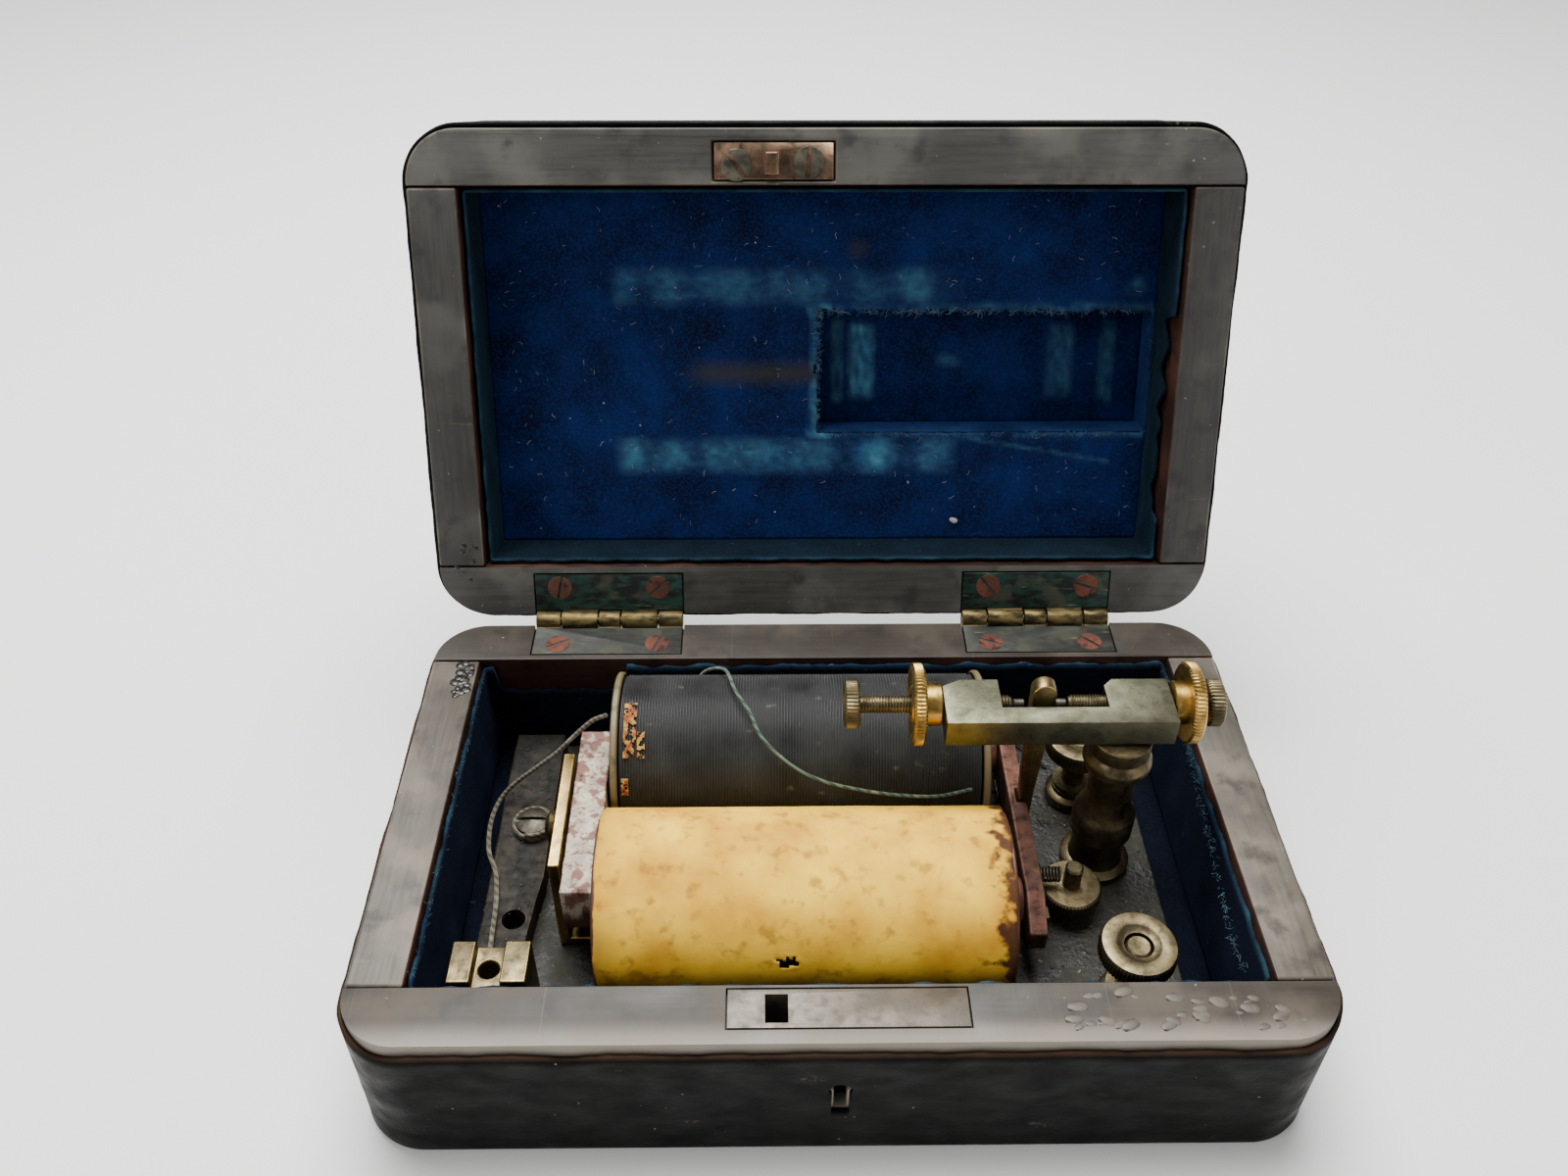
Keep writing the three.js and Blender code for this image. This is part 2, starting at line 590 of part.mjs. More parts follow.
function buildWires() {
  const broken = [[-24.5, 33.4, 25], [-22, 30.5, 30.6], [-18.4, 24, 36.9],
    [-16.5, 17, 38.7], [-13.9, 12.2, 38],
    [-12.3, 8.7, 36.5], [-9.8, 6.2, 34.9], [-6.1, 4, 32.9], [-1.5, 2.6, 31.2], [3.5, 1.8, 30.2],
    [8.4, 1.2, 29.6], [13.5, 0.8, 29.3], [18.5, 0.9, 29.2], [23.9, 1.6, 30.1]]
  add('coil_wire', wire(broken, wireRadius, 30), 0x5c7a54, 0.8)
  const lead = [[-38.8, 13.5, 36.2], [-41.5, 14.3, 34], [-45, 14.5, 30],
    [-48.5, 14.8, 25.5], [-53, 15.6, 20.5],
    [-57.5, 15.8, 16], [-60.2, 14.2, 13.4], [-61.2, 9.5, 12.9], [-60.6, 3, 12.9], [-58.6, -2, 12.9],
    [-57.6, -8, 12.9], [-57.2, -16, 12.9], [-56.6, -24.8, 13.6]]
  add('lead_wire', wire(lead, wireRadius, 28), 0x5a4a30, 0.8)
  const rear = [[-30, 33.3, 23], [-14, 33.3, 21], [4, 33.3, 18.6], [20, 33.2, 15.8], [32, 31.3, 13.4],
    [38.5, 27, 12.9], [42.2, 22.3, 12.9]]
  add('rear_wire', wire(rear, wireRadius, 22), 0x2a2723, 0.8)
}

buildBaseCase()
buildLock()
buildHinges()
buildLid()
buildBed()
buildYoke()
buildCoil('front', coilFrontY, true)
buildCoil('rear', coilRearY, false)
buildArmature()
buildBridge()
const leverFaceLeft = leverMiddle - leverTopWidth / 2
const leverFaceRight = leverMiddle + leverTopWidth / 2
buildContact('left', -1, -bridgeLeft, -(leverFaceLeft - leverTravel - gap), -14.7, -4.2)
buildContact('right', 1, bridgeRight, leverFaceRight + gap, 57.3, 60.9)
buildTerminals()
buildWires()

export default part
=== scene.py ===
import math
import random

import bmesh
import bpy
from mathutils import Matrix, Vector, noise


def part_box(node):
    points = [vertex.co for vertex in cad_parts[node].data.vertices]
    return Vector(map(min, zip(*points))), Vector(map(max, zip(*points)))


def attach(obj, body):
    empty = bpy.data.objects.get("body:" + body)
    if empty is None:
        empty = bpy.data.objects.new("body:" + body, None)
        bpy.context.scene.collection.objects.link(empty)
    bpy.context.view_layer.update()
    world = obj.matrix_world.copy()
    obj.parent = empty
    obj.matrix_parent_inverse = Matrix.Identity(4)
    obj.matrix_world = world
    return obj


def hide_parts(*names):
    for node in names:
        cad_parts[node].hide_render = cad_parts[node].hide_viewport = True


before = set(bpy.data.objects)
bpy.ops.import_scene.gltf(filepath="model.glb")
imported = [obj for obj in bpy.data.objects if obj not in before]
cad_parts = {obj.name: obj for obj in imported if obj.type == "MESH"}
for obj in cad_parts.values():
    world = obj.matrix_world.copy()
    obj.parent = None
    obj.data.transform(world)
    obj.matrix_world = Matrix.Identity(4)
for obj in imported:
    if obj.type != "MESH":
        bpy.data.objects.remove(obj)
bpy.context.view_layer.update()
MM = 0.001
scene = bpy.context.scene


# Camera. It looks down into the open case from just in front of it, a little left of the
# middle, with the whole case and its raised lid in view.
camera_at = Vector((-10.8, -148.1, 201.7)) * MM
looks_down = math.radians(39.67)
turned_left = math.radians(-0.78)
leans = math.radians(0.24)
forward = Vector((
    -math.sin(turned_left) * math.cos(looks_down),
    math.cos(turned_left) * math.cos(looks_down),
    -math.sin(looks_down),
))
level = forward.cross(Vector((0, 0, 1))).normalized()
upward = level.cross(forward)
right = level * math.cos(leans) + upward * math.sin(leans)
upward = upward * math.cos(leans) - level * math.sin(leans)
camera = bpy.data.objects.new("camera", bpy.data.cameras.new("camera"))
camera.matrix_world = Matrix((
    (right.x, upward.x, -forward.x, camera_at.x),
    (right.y, upward.y, -forward.y, camera_at.y),
    (right.z, upward.z, -forward.z, camera_at.z),
    (0, 0, 0, 1),
))
camera.data.lens = 30.45
camera.data.shift_x = 0.0019
camera.data.shift_y = -0.0085
camera.data.clip_start = 0.01
scene.collection.objects.link(camera)
scene.camera = camera


# Wires. Three short lengths of covered wire: a broken green silk one that lies over the rear
# coil, a brown cotton lead down to the left terminal, and a dark lead along the back wall.
def linear(code):
    """An sRGB hex colour as the linear RGBA that shaders take."""
    parts = [int(code[i:i + 2], 16) / 255 for i in (1, 3, 5)]
    return [p / 12.92 if p <= 0.04045 else ((p + 0.055) / 1.055) ** 2.4 for p in parts] + [1.0]


def put(tree, kind, settings=None, inputs=None):
    """Adds a node with its settings and inputs. An input is a plain value, a hex colour, or the
    socket or node that it is linked from."""
    made = tree.nodes.new(kind)
    for name, value in (settings or {}).items():
        setattr(made, name, value)
    for key, value in (inputs or {}).items():
        if isinstance(value, bpy.types.Node):
            value = next(socket for socket in value.outputs if socket.enabled)
        if isinstance(value, bpy.types.NodeSocket):
            tree.links.new(value, made.inputs[key])
        elif isinstance(value, str) and value.startswith("#"):
            made.inputs[key].default_value = linear(value)
        else:
            made.inputs[key].default_value = value
    return made


def begin(name, fixed, *grains, turn=(0, 0, 0)):
    """A new material. fixed holds the values that are the same all over, set on its shader.
    Each grain is noise: its size in millimetres, its detail, and how it is drawn out (Scale
    below 1), moved or turned. turn turns them all."""
    material = bpy.data.materials.new(name)
    material.use_nodes = True
    tree = material.node_tree
    for key, value in fixed.items():
        tree.nodes["Principled BSDF"].inputs[key].default_value = value
    place = put(tree, "ShaderNodeTexCoord").outputs["Object"]
    whole = place
    if any(turn):
        whole = put(tree, "ShaderNodeMapping", None, {"Vector": place, "Rotation": turn})
    patterns = []
    for size, detail, laid in grains:
        spot = put(tree, "ShaderNodeMapping", None, {"Vector": whole, **laid}) if laid else whole
        patterns.append(put(tree, "ShaderNodeTexNoise", None,
                            {"Vector": spot, "Scale": 1 / (size * MM), "Detail": detail}))
    return material, tree, place, patterns


def mottled(tree, pattern, first, second, low=0.0, high=1.0):
    """Two tones that run into each other as a grain goes from light to heavy."""
    share = put(tree, "ShaderNodeMapRange", None,
                {"Value": pattern, **most_noise, "To Min": low, "To Max": high})
    return put(tree, "ShaderNodeMix", in_colour, {0: share, 6: first, 7: second})


def laid_over(tree, colour, *tones):
    """Tones laid over a colour, one after another: the pattern each follows, the values that
    it rises between, the tone's share below and above them, and the tone."""
    for pattern, low, high, below, above, tone in tones:
        share = put(
            tree, "ShaderNodeMapRange", smoothly,
            {"Value": pattern, "From Min": low, "From Max": high, "To Min": below, "To Max": above})
        colour = put(tree, "ShaderNodeMix", in_colour, {0: share, 6: colour, 7: tone})
    return colour


def finished(material, colour, rough, *relief):
    """Ends a material with its colour, its roughness (a pattern and the values it runs between)
    and its relief: each layer's pattern, depth in millimetres and strength."""
    tree = material.node_tree
    shader = tree.nodes["Principled BSDF"]
    tree.links.new(colour.outputs[2], shader.inputs["Base Color"])
    if rough:
        pattern, low, high = rough
        run = put(tree, "ShaderNodeMapRange", None,
                  {"Value": pattern, **most_noise, "To Min": low, "To Max": high})
        tree.links.new(run.outputs[0], shader.inputs["Roughness"])
    under = {}
    for pattern, depth, strength in relief:
        bump = put(tree, "ShaderNodeBump", None,
                   {"Height": pattern, "Distance": depth * MM, "Strength": strength, **under})
        under = {"Normal": bump}
    if under:
        tree.links.new(bump.outputs[0], shader.inputs["Normal"])
    return material


in_colour = {"data_type": "RGBA"}
smoothly = {"interpolation_type": "SMOOTHSTEP"}
most_noise = {"From Min": 0.3, "From Max": 0.7}


def covered_wire(name, dark, light):
    # Thread wound round copper: fine slanting bands, dusty, with no shine.
    material, tree, place, (dust,) = begin(name, {"Roughness": 0.85, "Sheen Weight": 0.3}, (2.5, 4, {}))
    bands = put(tree, "ShaderNodeTexWave", {"bands_direction": "DIAGONAL"},
                {"Vector": place, "Scale": 1 / (2.4 * MM), "Distortion": 1.5,
                 "Detail": 2.0}).outputs["Fac"]
    colour = put(tree, "ShaderNodeMix", in_colour, {0: bands, 6: dark, 7: light})
    colour = laid_over(tree, colour, (dust, 0.52, 0.75, 0, 0.5, "#9a9584"))
    return finished(material, colour, None, (bands, 0.08, 0.6))


def catmull(points, count):
    """Points along a smooth line through the given ones, evenly shared between them."""
    ends = [points[0] * 2 - points[1], *points, points[-1] * 2 - points[-2]]
    line = []
    for index in range(len(points) - 1):
        a, b, c, d = ends[index:index + 4]
        for step in range(count):
            t = step / count
            line.append(0.5 * (2 * b + (c - a) * t + (2 * a - 5 * b + 4 * c - d) * t * t
                               + (3 * b - a - 3 * c + d) * t ** 3))
    return [*line, points[-1]]


wire_looks = {
    "coil_wire": {"dark": "#1d3026", "light": "#4c6650", "slot": "green_silk", "thick": 0.55,
                  "far_end": "bare", "stiffness": "limp"},
    "lead_wire": {"dark": "#2b271c", "light": "#665e42", "slot": "brown_cotton", "thick": 0.8,
                  "far_end": "object", "stiffness": "medium"},
    "rear_wire": {"dark": "#151411", "light": "#38342b", "slot": "dark_cotton", "thick": 0.6,
                  "far_end": "object", "stiffness": "medium"},
}
wire_routes = {
    "coil_wire": [(-24.5, 33.4, 25), (-22, 30.5, 30.6), (-18.4, 24, 36.9), (-16.5, 17, 38.7),
                  (-13.9, 12.2, 38), (-12.3, 8.7, 36.5), (-9.8, 6.2, 34.9), (-6.1, 4, 32.9),
                  (-1.5, 2.6, 31.2), (3.5, 1.8, 30.2), (8.4, 1.2, 29.6), (13.5, 0.8, 29.3),
                  (18.5, 0.9, 29.2), (23.9, 1.6, 30.1)],
    "lead_wire": [(-38.8, 13.5, 36.2), (-41.5, 14.3, 34), (-45, 14.5, 30), (-48.5, 14.8, 25.5),
                  (-53, 15.6, 20.5), (-57.5, 15.8, 16), (-60.2, 14.2, 13.4), (-61.2, 9.5, 12.9),
                  (-60.6, 3, 12.9), (-58.6, -2, 12.9), (-57.6, -8, 12.9), (-57.2, -16, 12.9),
                  (-56.6, -24.8, 13.6)],
    "rear_wire": [(-30, 33.3, 23), (-14, 33.3, 21), (4, 33.3, 18.6), (20, 33.2, 15.8),
                  (32, 31.3, 13.4), (38.5, 27, 12.9), (42.2, 22.3, 12.9)],
}


def finish_piece(piece, body, slot, *stands_for):
    """Puts a finished piece on its body and hides the nodes it stands for. slot is not used."""
    if piece.name not in scene.collection.objects:
        scene.collection.objects.link(piece)
    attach(piece, body)
    if stands_for:
        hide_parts(*stands_for)
    return piece


for wire_name, route in wire_routes.items():
    given = wire_looks[wire_name]
    wire_width = given["thick"] * MM
    line = catmull([Vector(point) * MM for point in route], 5)
    curve = bpy.data.curves.new(wire_name + "_run", "CURVE")
    curve.dimensions = "3D"
    curve.bevel_depth = wire_width / 2
    curve.bevel_resolution = 3
    curve.use_fill_caps = True
    spline = curve.splines.new("POLY")
    spline.points.add(len(line) - 1)
    for point, place in zip(spline.points, line):
        point.co = (*place, 1)
    curve.materials.append(covered_wire(wire_name + "_cover", given["dark"], given["light"]))
    wire = finish_piece(bpy.data.objects.new(wire_name + "_run", curve), "root", given["slot"],
                        wire_name)


# Light and floor. A broad soft light above and behind, two weaker ones from the left front
# and the right front, and a plain pale floor.
def soft_light(name, at, towards, width, power):
    lamp = bpy.data.lights.new(name, "AREA")
    lamp.shape = "DISK"
    lamp.size = width
    lamp.energy = power
    holder = bpy.data.objects.new(name, lamp)
    holder.location = at
    holder.rotation_euler = (Vector(towards) - Vector(at)).to_track_quat("-Z", "Y").to_euler()
    scene.collection.objects.link(holder)


soft_light("light_above", (-0.06, 0.24, 0.72), (0, 0.0, 0.03), width=0.6, power=15.0)
soft_light("light_left_front", (-0.55, -0.45, 0.60), (0, 0.02, 0.04), width=0.5, power=2.3)
soft_light("light_right_front", (0.55, -0.50, 0.40), (0, 0.02, 0.04), width=0.5, power=1.2)
world = bpy.data.worlds.new("studio")
world.use_nodes = True
world.node_tree.nodes["Background"].inputs["Color"].default_value = (1, 1, 1, 1)
world.node_tree.nodes["Background"].inputs["Strength"].default_value = 0.28
scene.world = world
floor_mesh = bpy.data.meshes.new("floor")
floor_mesh.from_pydata([(-3, -3, 0), (3, -3, 0), (3, 3, 0), (-3, 3, 0)], [], [(0, 1, 2, 3)])
floor = bpy.data.objects.new("floor", floor_mesh)
floor_look = begin("pale_floor", {"Roughness": 0.9, "Base Color": linear("#f4f3f1")})[0]
floor_mesh.materials.append(floor_look)
scene.collection.objects.link(floor)


# Wooden case. Butt-jointed rails of a dark stained hardwood, worn grey by handling: the lid's
# are charcoal, the base's are rubbed paler at the front edge. Their arrises are rounded.
opened = math.radians(110.45)
hinge_line = Vector((0, 46.25, 29.15)) * MM
lid_turn = (Matrix.Translation(hinge_line) @ Matrix.Rotation(-opened, 4, "X")
            @ Matrix.Translation(-hinge_line))


def worn_wood(name, ground, pale, dark, along, turn=(0, 0, 0), wear_and_shade_to_back=0.0, rub=0.0):
    # Stained close-grained hardwood, waxed once: long dark pores, pale rubs, fine scratches and
    # a dull patchy shine. Towards the back it is darker, partly wear and partly painted shade where the
    # light falls off; rub greys it at the front edge.
    across = (along[1] * 0.6, along[0] * 0.12, 0.4)
    material, tree, place, (fibres, rubs, stains, scratches, specks) = begin(
        name, {"IOR": 1.5, "Specular IOR Level": 0.4},
        (0.7, 6, {"Scale": along, "Rotation": turn}),
        (14, 5, {"Rotation": turn}),
        (5, 6, {"Location": (0.3, 0.1, 0.2), "Rotation": turn}),
        (0.5, 3, {"Scale": across, "Rotation": (0.2, 0.1, 0.5)}),
        (0.9, 2, {"Location": (0.9, 0.4, 0)}))
    backwards = put(tree, "ShaderNodeSeparateXYZ", None, {0: place}).outputs["Y"]
    colour = laid_over(tree, ground,
                       (fibres, 0.35, 0.72, 0, 0.55, dark),
                       (rubs, 0.44, 0.68, 0, 0.75, pale),
                       (stains, 0.53, 0.72, 0, 0.8, dark),
                       (scratches, 0.68, 0.76, 0, 0.12, "#8f8678"),
                       # Darker towards the back: partly wear, partly painted shade where the light
                       # falls off.
                       (backwards, -0.035, 0.045, 0, wear_and_shade_to_back, dark),
                       (backwards, -0.0452, -0.0405, rub, 0, "#a39a8c"),
                       (specks, 0.75, 0.79, 0, 0.5, "#aaa394"))
    return finished(material, colour, (rubs, 0.42, 0.68),
                    (fibres, 0.05, 0.5), (stains, 0.12, 0.4), (scratches, 0.04, 0.4))


def mesh_from(shape, name, look=None):
    """The worked shape as a smooth mesh, with its look if it has one yet."""
    mesh = bpy.data.meshes.new(name)
    shape.to_mesh(mesh)
    shape.free()
    mesh.shade_smooth()
    if look:
        mesh.materials.append(look)
    return mesh


def thickened(mesh, name, thickness, offset=0):
    """A thin piece with a live thickness, in millimetres, to be made real later."""
    piece = bpy.data.objects.new(name, mesh)
    solid = piece.modifiers.new("thickness", "SOLIDIFY")
    solid.thickness = thickness * MM
    solid.offset = offset
    return piece


def finish_in_lid(piece, slot, *stands_for):
    """Finishes a piece that was made with the lid shut, turned to where the open lid has it."""
    piece.data.transform(lid_turn)
    return finish_piece(piece, "lid", slot, *stands_for)


def evaluated(piece, name):
    """The piece with its modifiers made real, as a new mesh; it and its cutters are removed."""
    if piece.name not in scene.collection.objects:
        scene.collection.objects.link(piece)
    graph = bpy.context.evaluated_depsgraph_get()
    mesh = bpy.data.meshes.new_from_object(piece.evaluated_get(graph), depsgraph=graph)
    mesh.name = name
    cutters = [step.object for step in piece.modifiers if step.type == "BOOLEAN"]
    for spent in [piece, *cutters]:
        bpy.data.objects.remove(spent)
    return bpy.data.objects.new(name, mesh)


def softened(node, width, looks, roughen=0.0, grain=3.0, cell=0.0):
    """A copy of a node with rounded arrises, the second look on the arrises if two are given.
    roughen pushes its surface about by that many millimetres, divided into cells first."""
    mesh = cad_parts[node].data.copy()
    mesh.materials.clear()
    for look in looks:
        mesh.materials.append(look)
    shape = bmesh.new()
    shape.from_mesh(mesh)
    bmesh.ops.remove_doubles(shape, verts=shape.verts, dist=2e-6)
    bmesh.ops.dissolve_limit(shape, angle_limit=0.01, verts=shape.verts, edges=shape.edges)
    for face in shape.faces:
        face.material_index = 0
        face.smooth = True
    shape.to_mesh(mesh)
    shape.free()
    piece = bpy.data.objects.new(node + "_plain", mesh)
    bevel = piece.modifiers.new("arris", "BEVEL")
    bevel.width = width * MM
    bevel.segments = 3
    bevel.limit_method = "ANGLE"
    bevel.angle_limit = math.radians(32)
    bevel.harden_normals = not roughen
    bevel.material = min(1, len(looks) - 1)
    piece = evaluated(piece, node + "_piece")
    if roughen:
        cut_up(piece.data, cell)
        for vertex in piece.data.vertices:
            push = noise.noise_vector(vertex.co / (grain * MM)) * roughen * MM
            vertex.co += Vector(push)
    return piece


def finish_node(node, body, slot, width, looks, **worked):
    """Finishes a node whose own shape, with its arrises rounded, is the whole piece."""
    return finish_piece(softened(node, width, looks, **worked), body, slot, node)


def cut_up(mesh, cell):
    """Divides long edges until none is longer than the cell, so that a surface can be worked."""
    shape = bmesh.new()
    shape.from_mesh(mesh)
    bmesh.ops.triangulate(shape, faces=shape.faces)
    for _ in range(5):
        long_edges = [edge for edge in shape.edges if edge.calc_length() > cell * MM]
        if not long_edges:
            break
        bmesh.ops.subdivide_edges(shape, edges=long_edges, cuts=1)
        bmesh.ops.triangulate(shape, faces=shape.faces)
    for face in shape.faces:
        face.smooth = True
    shape.to_mesh(mesh)
    shape.free()


lengthwise = (0.06, 1, 1)
crosswise = (1, 0.06, 0.06)
base_rail = worn_wood("stained_hardwood_base_rail", "#342d25", "#544b3f", "#26211b", lengthwise,
                      wear_and_shade_to_back=0.35, rub=0.55)
base_side = worn_wood("stained_hardwood_base_side", "#5a5348", "#857c6e", "#2f2a24", crosswise,
                      wear_and_shade_to_back=0.6)
base_edge = worn_wood("rubbed_arris", "#4a443c", "#8c8270", "#2a2521", lengthwise)
lid_rail = worn_wood("stained_hardwood_lid_rail", "#403f3b", "#595852", "#292825", lengthwise,
                     (opened, 0, 0))
lid_side = worn_wood("stained_hardwood_lid_side", "#33322f", "#494843", "#222120", crosswise,
                     (opened, 0, 0))
bare_wood = worn_wood("bare_red_brown_wood", "#2e1a12", "#4a2c1e", "#150c08", lengthwise)
lid_edge = worn_wood("lid_arris", "#37342e", "#6f685a", "#1f1d19", lengthwise, (opened, 0, 0))
wood_pieces = {
    "base_front_wall": (base_rail, base_edge), "base_back_wall": (base_rail, base_edge),
    "base_left_wall": (base_side, base_edge), "base_right_wall": (base_side, base_edge),
    "base_bottom_board": (base_rail, base_edge), "lid_front_wall": (lid_rail, lid_edge),
    "lid_back_wall": (lid_rail, lid_edge), "lid_left_wall": (lid_side, lid_edge),
    "lid_right_wall": (lid_side, lid_edge), "lid_top_board": (lid_rail, lid_edge),
}
cavity_x = 65.3
cavity_y = 35.55
for wood_node, looks in wood_pieces.items():
    in_lid = wood_node.startswith("lid")
    plank = softened(wood_node, width=0.45, looks=(*looks, bare_wood))
    shut = lid_turn.inverted() if in_lid else Matrix.Identity(4)
    for face in plank.data.polygons:
        middle = (shut @ face.center) / MM
        if abs(middle.x) < cavity_x and abs(middle.y) < cavity_y:
            face.material_index = 2
    finish_piece(plank, "lid" if in_lid else "root", "lid_wood" if in_lid else "base_wood", wood_node)


# Leather. Thin black hide glued round the sides and over the bottom and top. It has dried
# and shrunk, so its free edge stops in a ragged line below the rim and shows bare wood.
base_high = Vector(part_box("base_leather_sides")[1])
bottom_high = Vector(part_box("base_leather_bottom")[1])
case_half = Vector((bottom_high.x, bottom_high.y, 0))
rim_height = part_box("base_front_wall")[1][2]
case_corner = 10.4 * MM
hide_thick = 0.75 * MM


def round_walk(half_x, half_y, radius, step):
    """Points and outward directions round a rectangle with round corners."""
    places = []
    centres = [(1, -1, -90), (1, 1, 0), (-1, 1, 90), (-1, -1, 180)]
    for index, (sx, sy, start) in enumerate(centres):
        centre = Vector((sx * (half_x - radius), sy * (half_y - radius), 0))
        turns = max(6, int(radius * math.pi / 2 / step))
        for turn in range(turns + 1):
            angle = math.radians(start + 90 * turn / turns)
            out = Vector((math.cos(angle), math.sin(angle), 0))
            places.append((centre + out * radius, out))
        nx, ny = centres[(index + 1) % 4][:2]
        here = places[-1]
        following = Vector((nx * (half_x - radius), ny * (half_y - radius), 0)) + here[1] * radius
        gaps = int((following - here[0]).length / step)
        for gap in range(1, gaps):
            places.append((here[0].lerp(following, gap / gaps), here[1]))
    return places


def hide_shell(name, closed_at, free_edge, look):
    """A tray of leather: side walls from its closed face to a ragged free edge."""
    up = 1 if free_edge > closed_at else -1
    walk = round_walk(case_half.x - hide_thick / 2, case_half.y - hide_thick / 2, case_corner, 0.8 * MM)
    fold = 1.6 * MM
    depth = abs(free_edge - closed_at)
    shape = bmesh.new()
    rows = []
    for place, out in walk:
        column = []
        ragged = noise.noise(place / (9 * MM)) * 0.9 + noise.noise(place / (2.2 * MM)) * 0.35
        top = depth - (0.5 + ragged * 0.7) * MM
        for step in range(5):
            angle = math.pi / 2 * step / 4
            inward = fold * (1 - math.sin(angle))
            column.append(shape.verts.new(
                place - out * inward + Vector((0, 0, closed_at + up * fold * (1 - math.cos(angle))))))
        levels = 12
        for level_index in range(1, levels + 1):
            height = fold + (top - fold) * level_index / levels
            spot = place + Vector((0, 0, closed_at + up * height))
            ripple = noise.noise(spot / (6 * MM)) * 0.12 * MM
            column.append(shape.verts.new(spot - out * (0.08 * MM + abs(ripple))))
        rows.append(column)
    for index, column in enumerate(rows):
        following = rows[(index + 1) % len(rows)]
        for low in range(len(column) - 1):
            shape.faces.new((column[low], following[low], following[low + 1], column[low + 1]))
    shape.faces.new([column[0] for column in reversed(rows)])
    bmesh.ops.recalc_face_normals(shape, faces=shape.faces)
    return thickened(mesh_from(shape, name + "_plain", look), name + "_plain", hide_thick / MM)


def old_leather(name, edge_from, edge_to, turn=(0, 0, 0)):
    # Blackened grained hide: small pebbles under a waxy film, grey scuffs, pale dust specks
    # and a few worn brown places. It is browner between the edge heights.
    material, tree, place, (cloud, scuffs, specks, rubbed, fine) = begin(
        name, {"IOR": 1.48, "Specular IOR Level": 0.08},
        (12, 6, {}),
        (3.5, 6, {"Scale": (0.5, 1, 1), "Location": (0.2, 0, 0)}),
        (1.1, 2, {"Location": (0.5, 0.7, 0)}),
        (7, 6, {"Scale": (0.5, 1, 1), "Location": (0.7, 0.2, 0.9)}),
        (0.6, 4, {}), turn=turn)
    spot = put(tree, "ShaderNodeMapping", None, {"Vector": place, "Rotation": turn})
    pebbles = put(tree, "ShaderNodeTexVoronoi", {"feature": "DISTANCE_TO_EDGE"},
                  {"Vector": spot, "Scale": 1 / (1.1 * MM)})
    colour = laid_over(tree, mottled(tree, cloud, "#030303", "#0b0b09"),
                       (scuffs, 0.66, 0.78, 0, 0.45, "#3d3b33"),
                       (specks, 0.77, 0.8, 0, 0.8, "#9a968a"))
    patches, points = (
        put(tree, "ShaderNodeMapRange", smoothly, {"Value": grain, "From Min": low, "From Max": high})
        for grain, low, high in ((rubbed, 0.64, 0.74), (fine, 0.48, 0.66)))
    flecks = put(tree, "ShaderNodeMath", {"operation": "MULTIPLY"}, {0: patches, 1: points})
    colour = put(tree, "ShaderNodeMix", in_colour, {0: flecks, 6: colour, 7: "#55534b"})
    height = put(tree, "ShaderNodeSeparateXYZ", None, {0: place}).outputs["Z"]
    colour = laid_over(tree, colour, (height, edge_from, edge_to, 0, 0.8, "#3a2a1f"))
    return finished(material, colour, (scuffs, 0.38, 0.7),
                    (pebbles, 0.12, 0.35), (scuffs, 0.06, 0.25), (cloud, 0.06, 0.1))


def bored(shell, *cutters):
    """Cuts each cutter out of a piece."""
    for cutter in cutters:
        scene.collection.objects.link(cutter)
        hole = shell.modifiers.new("hole", "BOOLEAN")
        hole.operation = "DIFFERENCE"
        hole.object = cutter
        hole.solver = "EXACT"
    return shell


def turned(name, profile, at, axis="Z", segments=72, knurl=0, depth=0.0, look=None):
    """A lathe-turned piece from (radius, distance) pairs in millimetres. Knurled rows are
    those whose radius is negative: it is taken as positive and toothed."""
    shape = bmesh.new()
    rings = []
    for radius, along in profile:
        if radius == 0:
            rings.append([shape.verts.new((0, 0, along * MM))])
            continue
        ring = []
        for index in range(segments):
            angle = 2 * math.pi * index / segments
            reach = abs(radius) + (depth * math.cos(knurl * angle) - depth if radius < 0 else 0)
            ring.append(shape.verts.new((reach * math.cos(angle) * MM, reach * math.sin(angle) * MM,
                                         along * MM)))
        rings.append(ring)
    closed = profile[0] == profile[-1]
    if closed:
        for vertex in rings.pop():
            shape.verts.remove(vertex)
        rings.append(rings[0])
    for low, high in zip(rings, rings[1:]):
        for index in range(max(len(low), len(high))):
            after = (index + 1) % segments
            if len(low) == 1 and len(high) > 1:
                shape.faces.new((low[0], high[after], high[index]))
            elif len(high) == 1 and len(low) > 1:
                shape.faces.new((low[index], low[after], high[0]))
            elif len(low) > 1:
                shape.faces.new((low[index], low[after], high[after], high[index]))
    bmesh.ops.recalc_face_normals(shape, faces=shape.faces)
    mesh = mesh_from(shape, name, look)
    swing = {"Z": Matrix.Identity(4), "X": Matrix.Rotation(math.pi / 2, 4, "Y"),
             "Y": Matrix.Rotation(-math.pi / 2, 4, "X")}[axis]
    mesh.transform(Matrix.Translation(Vector(at) * MM) @ swing)
    mesh.set_sharp_from_angle(angle=math.radians(35))
    return bpy.data.objects.new(name, mesh)


key_low = Vector((-0.2, -46.2, 17.7))
key_round = turned("key_round", [(0, -3), (1.75, -3), (1.75, 3), (0, 3)], key_low, "Y", segments=32)
key_slit = turned("key_slit", [(0, -6.2), (1.9, -6.2), (1.9, 0), (0, 0)], (0, 0, 0), "Z", segments=4)
key_slit.data.transform(Matrix.Translation(key_low * MM) @ Matrix.Rotation(math.pi / 4, 4, "Z"))
hide = old_leather("blackened_hide", edge_from=0.0262, edge_to=0.0272)
lid_hide = old_leather("blackened_lid_hide", edge_from=0.5, edge_to=0.6, turn=(opened, 0, 0))
relief_y = hinge_line.y / MM
relief_z = hinge_line.z / MM


